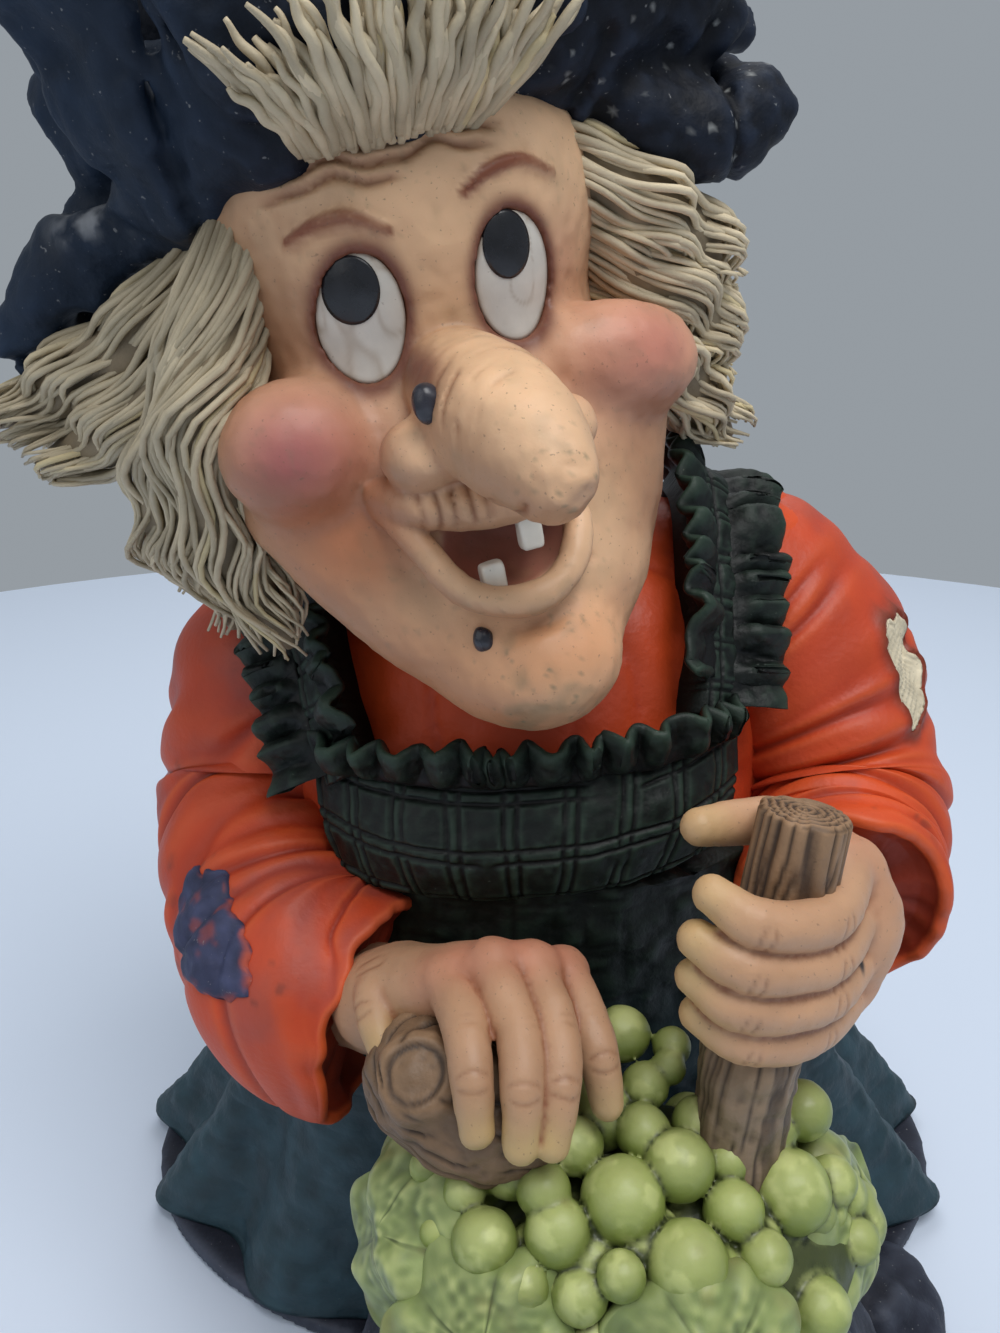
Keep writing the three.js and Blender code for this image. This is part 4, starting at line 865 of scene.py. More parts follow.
# double check: two close lines in every pitch, wandering a little and broken here and there
def checkLines(u, v, p):
    down = doubleLines(u + 0.5 * lumps(p, 7, 91)) * step(lumps(p, 6, 93), -0.75, -0.35)
    across = doubleLines(v + 0.5 * lumps(p, 7, 92)) * step(lumps(p, 6, 94), -0.75, -0.35)
    return np.maximum(down, across)


# dark green, mottled, with painted highlight on what stands out and painted shade in hollows; check lines
# darker
def greenColours(points, faces, lines, brushedHighlight=2.5, filledShade=5.0):
    hollow = hollows(points, faces, normalsOf(points, faces), 2)
    colour = mottled(points, pinafore["green"], 0.18, 8, 3, 95)
    colour = washedLightAndShade(colour, hollow, (pinafore["edge"], brushedHighlight, 0.65), (pinafore["dark"], filledShade, 0.9))
    return tint(colour, pinafore["dark"] * 0.5, 0.9 * lines)


rows, columns = 120, 300
(hemAt, *hemSize), (waistAt, *waistSize) = pinafore["hem"], pinafore["waist"]
low = np.linspace(0, 1, rows)[:, None]
a = ringAngles(columns)[None, :]
ring = circle(a, 0.5 * low)
fold = pinafore["foldDepth"] * low * np.sin(pinafore["folds"] * a + np.sin(2 * a))
fold = fold + 0.03 * low * grit(ring, 0.35, 2, 101) + 0.025 * np.sin(math.pi * low) * grit(ring, 0.5, 2, 102)
middle = np.array(waistAt) + low[..., None] * np.subtract(hemAt, waistAt)
half = np.array(waistSize) + (low ** pinafore["flare"])[..., None] * np.subtract(hemSize, waistSize)
z = pinafore["waistHigh"] + (pinafore["foot"] - pinafore["waistHigh"]) * low
z = z + 1.6 * step(low, 0.8, 1) * (1 - step(low, 0.93, 1))
flat = middle + half * (1 + fold)[..., None] * circle(a)[..., :2]
skin = np.concatenate([flat, (z + 0 * a)[..., None]], -1)
rolled = skin[-1] + np.array([0, 0, 0.2])
points, faces = poled(np.concatenate([skin, [rolled * [share, share, 1] for share in (0.985, 0.6, 0.2)]]))
turn = np.arctan2(np.sin(a), np.cos(a)) * pinafore["skirtTurn"] + 0 * low
lines = np.zeros(len(points))
lines[:rows * columns] = 0.75 * checkLines(turn, low * pinafore["skirtDrop"] + 0 * a, skin).ravel()
points = pushed(points, faces, (0.85 * grit(points, 6, 4, 103) - 0.45 * lines) * (points[:, 2] > 5))
colour = greenColours(points, faces, 0.6 * lines, brushedHighlight=4.5)
colour = tint(colour, mottled(points, pinafore["teal"], 0.3, 4, 3, 104), 0.8 * step(-points[:, 2], -96, -40))
makePiece("skirtBell", points, faces, colour, "green", "skirt")


# a point on the body's egg, from degrees round and up it, lifted off by some mm
def onBody(turn, rise, lift):
    centre, radii = pinafore["body"]
    b, c = np.radians(turn), np.radians(rise)
    way = np.stack([np.cos(c) * np.sin(b), -np.cos(c) * np.cos(b), np.sin(c)], -1)
    return np.array(centre) + (np.array(radii) + np.asarray(lift)[..., None]) * way


def bibAt(u, v, lift):
    (left, right), (foot, top) = pinafore["bibSpan"], pinafore["bibRise"]
    turn = (left + (right - left) * u) * (0.78 + 0.22 * v)
    return onBody(turn, foot + (top - foot) * v + pinafore["bibTilt"] * (u - 0.45), lift)


# sheet: a front grid and a back grid joined round their edge, facing out
def outwardSheet(front, back):
    rows, columns = front.shape[:2]
    size = rows * columns
    number = np.arange(size).reshape(rows, columns)
    edge = np.concatenate([number[0], number[1:, -1], number[-1, -2::-1], number[-2:0:-1, 0]])
    nextEdge = np.roll(edge, -1)
    quads = gridFaces(rows, columns)
    faces = [quads, quads[:, ::-1] + size, np.stack([nextEdge, edge, edge + size, nextEdge + size], -1)]
    points = np.concatenate([front.reshape(-1, 3), back.reshape(-1, 3)])
    inward = (normalsOf(points, faces)[:size] * (points[:size] - points[size:])).sum() < 0
    return points, flipped(faces) if inward else faces


def checkedSheet(name, node, front, back, lines):
    points, faces = outwardSheet(front, back)
    colour = greenColours(points, faces, np.append(lines, 0 * lines))
    makePiece(name, points, faces, colour, "green", node)


v, u = np.meshgrid(np.linspace(-0.06, 1, 90), np.linspace(0, 1, 190), indexing="ij")
uv = np.stack([u, v], -1)
rolledIn = 3.2 * (1 - step(v, -0.06, 0.16)) ** 2
puff = np.sin(math.pi * np.clip(0.2 + 0.75 * v, 0, 1))
puff = puff * np.abs(np.sin(math.pi * np.clip(u, 0.02, 0.98))) ** 0.4
puff = pinafore["thick"] + pinafore["puff"] * puff - rolledIn
puff = puff + 1.6 * glow(uv, (0.3, 0.45), (0.2, 0.35)) + 1.4 * glow(uv, (0.76, 0.5), (0.18, 0.35))
flat = bibAt(u, v, puff)
lines = checkLines(u * 92 + 3, v * 26 + 3.5 * np.sin(u * 3.1), flat)
relief = 0.5 * grit(flat, 6, 3, 111) - pinafore["cut"] * lines
checkedSheet("bibPanel", "bib", bibAt(u, v, puff + relief), bibAt(u, v, -pinafore["sink"]), lines)


# strap: a band along its route; the way out is away from the chest
def strapFrame(route, u):
    path = curve(route, 400)
    point, along = rowsAt(path, u), unit(rowsAt(np.gradient(path, axis=0), u))
    out = unit(point - np.array(pinafore["chest"]))
    return point, out, unit(np.cross(along, out)), along


for side in ("left", "right"):
    route = pinafore["strap" + side.title()]
    u, v = np.meshgrid(np.linspace(0, 1, 260), np.linspace(-0.5, 0.5, 26), indexing="ij")
    point, out, across, along = strapFrame(route, u)
    flat = point + across * (v * pinafore["strapWide"])[..., None]
    lines = checkLines(u * lengthOf(route), v * pinafore["strapWide"] + 2.0, flat)
    lift = 0.7 * (1 - (2 * v) ** 4) + 0.5 * grit(flat, 5, 3, 115) - 0.5 * lines
    front, back = flat + out * lift[..., None], flat - out * pinafore["strapSink"]
    checkedSheet("strap" + side.title(), "strap_" + side, front, back, lines)


# frill: from its root a strip runs out across; uneven waves grow towards the free edge and swing along it
def frill(name, node, rootFrame, side, pitch, wide, seed, lean=(0.94, 0.34), lift=1.2, swing=1.7, thick=2.0):
    point, out, across, along = rootFrame
    v = np.broadcast_to(np.linspace(0, 1, point.shape[1]), point.shape[:2])
    steps = np.linalg.norm(np.diff(point[:, 0], axis=0, prepend=point[:1, 0]), axis=1)
    run = np.cumsum(steps)[:, None] + 0 * v
    uneven = np.stack([run, 0 * run + 3 * seed, 0 * run], -1)
    phase = 2 * np.pi * (run / pitch + 0.8 * lumps(uneven, 10, seed) + 0.2 * lumps(uneven, 4, seed + 6))
    grow = step(v, 0.0, 0.45)
    strength = swing * (0.85 + 0.45 * lumps(uneven, 6, seed + 1))
    reach = wide * (1 + 0.12 * grit(uneven, 7, 2, seed + 2))
    wave = np.tanh(1.5 * np.sin(phase + 0.35 * lumps(uneven + v[..., None], 4, seed + 4))) / 0.9
    outward = across * side * lean[0] + out * lean[1]
    upward = out * lean[0] - across * side * lean[1]
    place = point + outward * (v * (reach + 1.5) - 1.5)[..., None]
    place = place + upward * (lift * np.sin(2.4 * v) + strength * grow * wave)[..., None]
    place = place + along * (0.075 * pitch * grow * np.sin(2 * phase))[..., None]
    way = unit(np.cross(np.gradient(place, axis=0), np.gradient(place, axis=1)))
    way = way * np.sign((way * out).sum(-1, keepdims=True) + 1e-9)
    half = thick / 2 * np.sqrt(np.clip(1 - np.clip((v - 0.8) / 0.2, 0, 1) ** 2, 0.06, 1))
    place = place + way * (0.5 * grit(place, 4, 3, seed))[..., None]
    points, faces = outwardSheet(place + way * half[..., None], place - way * half[..., None])
    # paler at the free edge and on the wave crests, darker at the root and where the waves fold down: painted
    # highlight and painted shade on the ruffles
    edge = step(v, 0.62, 1.0) * (0.5 + 0.5 * wave)
    root = (1 - step(v, 0.05, 0.4)) * 0.7 + 0.6 * step(-wave, 0.0, 0.9)
    colour = greenColours(points, faces, np.zeros(len(points)), brushedHighlight=2.0, filledShade=4.0)
    colour = tint(colour, pinafore["edge"], 0.55 * np.tile(edge.ravel(), 2))
    colour = tint(colour, pinafore["dark"], np.tile(root.ravel(), 2))
    makePiece(name, points, faces, colour, "green", node)


def frillShares(span):
    rows, columns = pinafore["frillGrid"]
    return np.broadcast_to(np.linspace(*span, rows)[:, None], (rows, columns))


def edgeFrame(strap, side, span):
    point, out, across, along = strapFrame(pinafore[strap], frillShares(span))
    return point + across * side * pinafore["strapWide"] / 2 - 0.2 * out, out, across, along


def bibFrame(span):
    u = frillShares(span)
    top, thick = np.ones(u.shape), pinafore["thick"]
    point = bibAt(u, top, thick)
    out = unit(bibAt(u, top, thick + 1) - point)
    along = unit(bibAt(u + 0.01, top, thick) - point)
    return point + out * pinafore["puff"], out, unit(np.cross(out, along)), along


# edge frills: name, node, strap, side, span, pitch, width and seed
edgeFrills = [
    ("frillLeftOuter", "frill_left_outer", "strapLeft", 1, (0.43, 0.98), 5.4, 10.0, 5),
    ("frillLeftInner", "frill_left_inner", "strapLeft", -1, (0.33, 0.93), 5.2, 8.6, 9),
    ("frillRightOuter", "frill_right_outer", "strapRight", -1, (0.33, 0.98), 5.5, 10.0, 13),
    ("frillRightInner", "frill_right_inner", "strapRight", 1, (0.33, 0.93), 5.2, 8.8, 17),
]
for name, node, strap, side, span, pitch, wide, seed in edgeFrills:
    frill(name, node, edgeFrame(strap, side, span), side, pitch, wide, seed)
frill("frillBib", "frill_bib", bibFrame((0.07, 0.94)), 1, 5.6, 7.0, 21, lean=(0.8, 0.6), lift=1.0, swing=1.9)
print("pinafore done")

# hands: limbs of clay; the left lies over the knot, the right grips the stake; masses are given as route and
# softness, fingers as root, two joints and tip
hands = {
    "left": {
        "low": (-48, -79, 72), "high": (14, -20, 118), "round": (4.0, 3.55, 3.2, 2.6),
        "ruddy": 0.6, "tone": 0.77,
        "mass": [([(-36, -26, 82, 10), (-30, -34, 86, 9.6), (-26, -41, 92, 8.6)], 0),
                 ([(-27, -40, 91, 6.4), (-17.5, -52, 102.5, 4.8)], 3),
                 ([(-24, -40, 92, 6.4), (-11, -52, 105, 4.8)], 3),
                 ([(-20, -39, 92, 6.4), (-4.5, -51, 104, 4.7)], 3),
                 ([(-18, -37, 91, 6.2), (0.4, -48, 101, 4.4)], 3),
                 ([(-31, -41, 91, 7.5), (-25, -46, 96, 7.0), (-19, -49, 99, 5.5)], 4)],
        "fingers": [[(-17.5, -52, 103), (-14.7, -64, 102), (-13.7, -70, 98), (-13, -72.4, 91.5)],
                    [(-11, -52, 106), (-7, -64, 102), (-6.4, -71, 97), (-6.6, -73.4, 89.5)],
                    [(-4.5, -51, 105), (-1.3, -62, 101), (-0.8, -69, 96), (-2, -72.4, 89)],
                    [(0.4, -48, 102), (3.8, -57, 99), (5.7, -62, 95), (6.8, -64.5, 89.5)],
                    [(-27, -40, 93), (-29.6, -46, 97.5), (-29.7, -52, 96), (-28, -56.5, 93.5)]],
    },
    "right": {
        "low": (12, -76, 84), "high": (68, -10, 138), "round": (4.3, 3.95, 3.7, 3.0),
        "ruddy": 0.35, "tone": 0.95,
        "mass": [([(54, -15, 99, 10.5), (50, -28, 102, 10), (47, -40, 107, 9.0)], 0),
                 ([(47, -42, 116, 6.5), (48, -43, 108, 8.0), (47.5, -43, 99, 6.6)], 4)],
        "fingers": [[(46.5, -44, 118.5), (39, -59, 118.6), (27.5, -65, 121.5), (21, -62, 124.5)],
                    [(48.5, -44, 111.6), (39.5, -59, 111.6), (26.5, -66, 114.5), (19, -63, 117.7)],
                    [(49, -44, 104), (39.5, -59, 104.8), (26, -66, 107.8), (19, -63, 111.2)],
                    [(48.5, -44, 96.5), (38.5, -58, 98), (27, -64.5, 101), (20, -63, 104.8)],
                    [(46, -38, 118), (36, -42, 125.5), (28, -44.5, 127), (21, -49, 128.5)]],
    },
    "pitch": 0.56, "chip": ((46.5, -52.5, 106), (1.0, 3, 2.2)), "bare": shade(40, 40, 44),
    "skin": shade(198, 153, 118), "shadeWash": shade(132, 80, 52), "red": shade(190, 112, 90),
    "tip": shade(188, 166, 106),
}
for side in ("left", "right"):
    hand = hands[side]
    fingers = np.array(hand["fingers"], float)
    clay = newClay(hand["low"], hand["high"], hands["pitch"])
    for route, soft in hand["mass"]:
        addLimb(clay, route, soft)
    for finger in fingers:
        addLimb(clay, np.column_stack([finger, hand["round"]]), soft=0.9, parts=14)
    points, faces = skinOf(clay)
    # joints: two short creases across each, on the outer side; knuckles redder, tips yellower
    crease, knuckle, tip = np.zeros((3, len(points)))
    for finger in fingers:
        for before, joint, after in zip(finger, finger[1:], finger[2:]):
            axis, outer = unit(after - before), joint - 0.5 * (after + before)
            d = points - joint
            off = d @ axis
            outside = d - off[:, None] * axis
            turn = np.linalg.norm(np.cross(unit(outside), unit(outer + 1e-6)), axis=1)
            front = (outside @ outer > 0) * step(6.0 - np.linalg.norm(d, axis=1), 0, 1.6)
            for gap in (-1, 1):
                arc = off - gap * (1.5 - 1.3 * turn**2) + 0.25 * lumps(points, 2, 5)
                crease = np.maximum(crease, front * step(0.85 - turn, 0, 0.2) * bell(arc, 0.3))
        knuckle += glow(points, finger[0], 5.5)
        tip += glow(points, finger[3], 4.5)
    points = pushed(points, faces, 0.2 * grit(points, 5, 3, 16) - 0.2 * crease)
    hollow = hollows(points, faces, normalsOf(points, faces), 3)
    colour = mottled(points, hands["skin"] * hand["tone"], 0.06, 9, 2, 17)
    colour = tint(colour, hands["red"], hand["ruddy"] * np.clip(knuckle, 0, 1))
    colour = tint(colour, hands["tip"], 0.55 * np.clip(tip, 0, 1))
    # painted shade in the hollows and between the fingers; the joint creases darker in the same shade
    colour = tint(colour, hands["shadeWash"], np.clip(hollow * 3.4, 0, 0.9))
    colour = tint(colour, hands["shadeWash"] * 0.8, 0.4 * crease)
    if side == "right":
        colour = tint(colour, hands["bare"], step(glow(points, *hands["chip"]), 0.3, 0.6))
    makePiece("hand" + side.title(), points, faces, colour, "skin", "hand_" + side)
print("hands done")

# wood: a stake with a ringed cut top and grain along it, and a knot of wood with a ringed stub
wood = {
    "stake": [(36, -52, 132, 7.2), (32.6, -55, 108, 7.4), (29, -58, 84, 8.0), (25.5, -61, 56, 8.6)],
    "stakeLength": 75, "barkSpan": (30, 46),
    "knotCentre": (-15, -60, 86.5), "knotAxis": (0.86, -0.25, -0.35), "knotReach": 16.5, "knotThick": 11.6,
    "stubPlace": (-22, -66.0, 96), "stubWay": (-0.5, -0.6, 0.62), "stubRound": 5.2,
    "pale": shade(142, 112, 84), "brown": shade(118, 93, 70), "dark": shade(46, 34, 28),
    "grey": shade(132, 118, 100),
}


# painted shade: the wood is darkened in its hollows
def darkened(colour, points, faces, strength, limit):
    hollow = hollows(points, faces, normalsOf(points, faces), 1)
    return tint(colour, wood["dark"], np.clip(hollow * strength, 0, limit))


rows, columns, rings = 170, 96, 24
path = curve(wood["stake"], rows)
along, across, over = pathFrame(path[:, :3], (1, 0, 0))
a = ringAngles(columns)
down = np.linspace(0, wood["stakeLength"], rows)[:, None] + 0 * a
barky = step(down, *wood["barkSpan"])
# grain: thin dark grooves where lump patterns, drawn out along the wood, cross zero
drawn = circle(a, down / 9) * np.array([7.5, 7.5, 1])
fine = 0.8 * bell(lumps(drawn * np.array([1.6, 1.6, 1.2]), 3.0, 132), 0.14)
grooves = np.maximum(bell(lumps(drawn, 3.0, 131), 0.16), fine)
around = circle(a, down * 0.5) * np.array([7, 7, 1])
flakes = grit(around * np.array([1, 1, 1.4]), 4.5, 3, 133) * barky
size = path[:, 3:] + 0.35 * grit(around, 7, 2, 132) - 0.75 * grooves * (1 - 0.6 * barky) + 0.9 * flakes
skin = path[:, None, :3] + size[..., None] * spokes(a, across, over)
r = np.linspace(0.03, 0.97, rings)[:, None]
yearRings = np.sin(r * 7.0 * 5.2 + 0.9 * np.sin(2 * a) + 2 * lumps(r[..., None] * circle(a), 0.6, 134))
dished = along[0] * (0.9 - 0.5 * r**6 + 0.22 * yearRings)[..., None]
top = path[0, :3] + r[..., None] * (skin[0] - path[0, :3]) - dished
points, faces = poled(np.concatenate([top, skin]))
groove = np.append(np.concatenate([0.7 * step(-yearRings, -0.2, 0.6), grooves]), [0, 0])
barky = np.append(np.concatenate([0 * yearRings, barky]), [0, 1])
colour = mottled(points, wood["pale"], 0.12, 5, 3, 135)
colour = tint(colour, wood["grey"], 0.6 * barky)
colour = tint(colour, wood["dark"], 0.8 * groove)
colour = darkened(colour, points, faces, strength=2.2, limit=0.7)
makePiece("stakePole", points, faces, colour, "bark", "stake")

rows, columns = 130, 130
centre, axis = np.array(wood["knotCentre"]), unit(np.array(wood["knotAxis"]))
sideways = unit(np.cross(axis, [0, 0, 1.0]))
upright = np.cross(sideways, axis)
v = np.linspace(0.03, math.pi - 0.03, rows)[:, None, None]
spoke = spokes(ringAngles(columns), sideways, upright)
shape = axis * -np.cos(v) * wood["knotReach"] + np.sin(v) ** 0.85 * wood["knotThick"] * spoke
points, faces = poled(centre + shape)
normals = normalsOf(points, faces)
stubWay, stubRound = unit(np.array(wood["stubWay"])), wood["stubRound"]
d = points - np.array(wood["stubPlace"])
apart = np.linalg.norm(d - (d @ stubWay)[:, None] * stubWay, axis=1)
facing = step(normals @ stubWay, 0.1, 0.5)
collar = bell(apart - stubRound, 1.5) * facing
inside = step(stubRound - apart, 0, 1.2) * facing
ringed = bell(apart - 0.72 * stubRound, 0.45) * inside
# grain lines run along the knot and bend round the stub
flow = (points - centre) @ (upright + 0.25 * sideways)
flow = flow + 3.0 * bell(apart, 8.0) * facing + 0.7 * lumps(points, 6, 141)
grain = stripes(flow, 3.1, 0.34) * (1 - inside) * step(lumps(points, 6, 144), -0.5, 0.2)
height = 1.8 * collar + 0.9 * inside - 0.9 * grain - 0.45 * ringed + 0.8 * grit(points, 6, 3, 142)
points = points + normals * height[:, None]
colour = mottled(points, wood["brown"], 0.16, 5, 3, 143)
colour = tint(colour, wood["pale"], 0.5 * collar + 0.3 * inside)
colour = tint(colour, wood["dark"], 0.8 * grain + 0.7 * ringed)
colour = darkened(colour, points, faces, strength=2.0, limit=0.6)
makePiece("woodKnot", points, faces, colour, "bark", "wood_knot")
print("wood done")

# heap: grapes of several sizes crowded on a mound, and lumpy leaves round its foot
heap = {
    "mound": ((12, -58, 56), (38, 24, 19)), "low": (-34, -88, 40), "high": (56, -34, 96), "pitch": 0.62,
    # grapes as place and radius
    "grapes": [(11, -46, 88, 4.7), (19, -48, 87, 3.3), (18, -52, 86, 2.9), (14, -54, 84, 3.9),
               (7, -56, 80, 5.7), (18, -66, 79, 5.5), (9, -70, 76, 6.5), (26, -70, 74, 4.7),
               (36, -64, 72, 6.6), (40, -54, 79, 4.9), (35, -58, 78, 3.2), (30, -75, 70, 4.2),
               (18, -77, 71, 6.3), (8, -80, 72, 3.6), (2, -80, 68, 4.1), (-6, -79, 69, 3.7),
               (-12, -74, 72, 5.1), (-1, -74, 74, 5.1), (-19, -70, 70, 3.1), (-15, -68, 76, 3.4),
               (-21, -64, 77, 2.8), (-3, -70, 78, 4.2), (22, -58, 80, 4.2), (29, -50, 80, 4.4),
               (34, -48, 78, 3.8), (2, -63, 80, 4.6), (13, -61, 81, 4.4), (44, -60, 70, 4.2),
               (26, -64, 78, 3.6), (-8, -66, 78, 4.4)],
    "more": 60, "moreRound": (3.0, 5.4), "leafSize": 14.5, "droop": 0.225, "leafThick": 4.0,
    "skin": shade(126, 139, 68), "pale": shade(196, 202, 134), "shadow": shade(42, 50, 20),
    "leaf": shade(126, 140, 84), "brown": shade(128, 108, 58),
}
bunch = newClay(heap["low"], heap["high"], heap["pitch"])
addBall(bunch, *heap["mound"])
dice = np.random.default_rng(7)
turn = dice.uniform(-math.pi, math.pi, heap["more"])
rise = dice.uniform(0.02, 1.0, heap["more"])
spread = np.stack([np.cos(rise) * np.cos(turn), np.cos(rise) * np.sin(turn), np.sin(rise)], -1)
moundCentre, moundRadii = np.array(heap["mound"])
more = np.column_stack([moundCentre + spread * moundRadii, dice.uniform(*heap["moreRound"], heap["more"])])
berries = np.concatenate([heap["grapes"], more])
for berry in berries:
    addBall(bunch, berry[:3], np.full(3, berry[3]), soft=0.25)
points, faces = skinOf(bunch)
normals = normalsOf(points, faces)
points = points + normals * (0.14 * grit(points, 3, 2, 151))[:, None]
hollow = hollows(points, faces, normals, 3)
apart = np.stack([np.linalg.norm(points - berry[:3], axis=1) - berry[3] for berry in berries])
which = apart.argmin(0)
hue = latticeValue(np.stack([which, which * 3, which * 7], -1), 5)
colour = heap["skin"] * (0.86 + 0.26 * hue)[:, None]
lit = step(normals[:, 2] - 0.4 * normals[:, 1], 0.3, 1.2)
colour = tint(colour, heap["pale"], 0.55 * lit + 0.35 * step(grit(points, 3.2, 3, 152), 0.0, 0.5))
colour = tint(colour, heap["shadow"], np.clip(hollow * 4.2, 0, 0.95) + 0.9 * step(apart.min(0), 0.3, 1.4))
blot = step(lumps(points, 3.2, 153), 0.45, 0.8) * step(lumps(points, 9, 154), 0.0, 0.6)
colour = tint(colour, heap["brown"], 0.35 * blot)
makePiece("grapeBunch", points, faces, colour, "grape", "grapes")


# leaf: rings of a lobed outline, sunk along its veins and drooping to its edge, closed underneath
def leaf(name, node, centre, out, lean, seed, rows=44, columns=132):
    size = heap["leafSize"]
    out = unit(np.array(out, float))
    side = unit(np.cross(np.array(lean, float), out))
    up = np.cross(out, side)
    r = np.concatenate([np.linspace(0.03, 1, rows), np.linspace(1, 0.03, rows)])[:, None]
    front = (np.arange(2 * rows) < rows)[:, None]
    a = ringAngles(columns)
    lobes = 0.11 * np.cos(5 * a + 0.4 + 1.2 * lumps(circle(a), 0.7, seed))
    lobes = lobes + 0.09 * grit(circle(a), 0.5, 2, seed)
    reach = size * (1 + lobes * r) * r
    vein = bell(np.cos(2.5 * a + 0.2), 0.10) * step(r, 0.08, 0.25) * (1 - r**6)
    flat = np.array(centre) + (reach * np.cos(a))[..., None] * side + (reach * np.sin(a))[..., None] * up
    rough = (3.0 * lumps(flat, 8, seed + 3) + 0.4 * grit(flat, 3, 2, seed + 4)) * (1 - r**12)
    lift = 2.2 * (1 - r**2) - 0.15 * vein - heap["droop"] * size * r**2
    lift = lift + np.where(front, rough, -heap["leafThick"])
    points, faces = poled(flat + lift[..., None] * out)
    hollow = hollows(points, faces, normalsOf(points, faces), 2)
    colour = mottled(points, heap["leaf"], 0.14, 5, 3, seed + 5)
    # painted highlight on the raised parts of the leaf and painted shadow in its hollows
    colour = washedLightAndShade(colour, hollow, (heap["pale"], 3, 0.6), (heap["shadow"], 3, 0.7))
    colour = tint(colour, heap["brown"], 0.3 * step(lumps(points, 4, seed + 7), 0.3, 0.8))
    makePiece(name, points, faces, colour, "grape", node)


leaf("leafLeft", "leaf_left", (-27, -67, 67), (-0.75, -0.55, 0.4), (0, -0.3, 1), seed=161)
leaf("leafFrontLeft", "leaf_front_left", (-12, -84, 62), (-0.25, -0.85, 0.5), (0.2, -0.2, 1), seed=171)
leaf("leafFront", "leaf_front", (21, -87, 62), (0.15, -0.9, 0.45), (-0.2, -0.2, 1), seed=181)
leaf("leafRight", "leaf_right", (50, -59, 61), (0.8, -0.45, 0.4), (0.1, -0.2, 1), seed=191)

# base: a thin plate under the hem, the dark rock below the grapes and a stone beside it, flat underneath
ground = {
    "low": (-98, -95, -3), "high": (99, 97, 62), "pitch": 1.35,
    "plate": ((1, 27), (94.5, 66.5)), "plateThick": 4.0, "rock": ((12, -50, 0), (53, 39.5, 55)),
    "stones": [((66, -24, 0), (18, 18, 13)), ((38, -72, 30), (16, 13, 25)), ((-14, -66, 26), (16, 13, 25))],
    "navy": shade(38, 41, 52), "dark": shade(14, 15, 20), "edge": shade(86, 92, 106),
}
rock = newClay(ground["low"], ground["high"], ground["pitch"])
addBall(rock, *ground["rock"])
for centre, radii in ground["stones"]:
    addBall(rock, centre, radii, soft=3)
p = clayPlaces(rock)
value = rock["value"]
value = value + 2.2 * grit(p, 17, 3, 201).astype(np.float32) * (np.abs(value) < 14)
plateCentre, plateRadii = np.array(ground["plate"])
disc = (np.linalg.norm((p[..., :2] - plateCentre) / plateRadii, axis=-1) - 1) * plateRadii[1]
value = np.minimum(value, np.maximum(disc, p[..., 2] - ground["plateThick"]))
rock["value"] = np.maximum(value, 0.001 - p[..., 2]).astype(np.float32)
points, faces = skinOf(rock)
points[:, 2] = np.maximum(points[:, 2], 0)
normals = normalsOf(points, faces)
points = points + normals * (0.5 * grit(points, 4, 2, 203) * step(points[:, 2], 3.0, 7.0))[:, None]
colour = mottled(points, ground["navy"], 0.25, 10, 3, 204)
hollow = hollows(points, faces, normals, 2)
# painted highlight on the rock's edges and painted shade in its hollows
colour = washedLightAndShade(colour, hollow, (ground["edge"], 4, 0.5), (ground["dark"], 5, 0.85))
makePiece("rockBase", points, faces, colour, "navy", "base")
print("heap and base done")

# hat: a thick torn brim, turned up in front, and a slumped crown; tears and lobe are in degrees round it
hat = {
    "low": (-78, -66, -2), "high": (80, 74, 68), "pitch": 0.95,
    "bandRound": 33, "bandHigh": 30.5, "reach": 62.0, "short": 14.0, "droop": -15.5, "turnUp": 27.0,
    "tear": 8.0, "tears": (-106, 150), "lobe": 66,
    "lobes": [[(38, -20, 28, 6.5), (47, -18.5, 23, 7.6), (55, -17, 21.5, 7.8), (60.5, -15.5, 24, 6.6)],
              [(48, -6, 40, 6), (60, -4.5, 40, 5.6), (66, -4, 38, 4.2)],
              [(-31, -1, 25, 6), (-40, 7, 25.5, 6.2), (-50, 13, 23.5, 6.6), (-57.5, 17, 16.5, 5.6),
               (-63, 19.5, 11, 4.0)],
              [(-13, -28, 36, 4.4), (-23, -20, 30.5, 5.0), (-30.5, -10, 28, 5.0), (-38, 0, 31, 4.6)],
              [(-44, 8, 21, 4), (-46.5, 10, 17, 3.2)], [(-35, 4, 40, 7.5), (-38, 3, 50, 8)],
              [(-38, 10, 46, 6), (-42.5, 13.5, 46, 5.6)],
              [(-26, -20, 38, 7), (-30, -14, 44, 8), (-33, -8, 40, 7.5)]],
    "crown": [(0, 3, 33, 36), (0, 5, 60, 30), (2, 12, 81, 19), (6, 26, 92, 9), (9, 37.5, 87, 3.4)],
    "slumps": [(0.3, 0), (0.46, 2), (0.62, 4), (0.8, 1)],
    "navy": shade(13, 18, 28), "slate": shade(34, 49, 68), "dark": shade(5, 6, 10), "edge": shade(42, 52, 70),
    "worn": shade(150, 152, 156), "dust": shade(170, 172, 170),
    "wornPlace": ((-45.5, 3.2, 28.4), (6.5, 6, 3.0)),
}


# navy, mottled, with painted highlight on what stands out and painted shade in hollows
def navyColours(points, faces, seed):
    hollow = hollows(points, faces, normalsOf(points, faces), 2)
    colour = mottled(points, hat["navy"], 0.25, 9, 3, seed)
    return washedLightAndShade(colour, hollow, (hat["edge"], 3.5, 0.55), (hat["dark"], 5, 0.9))


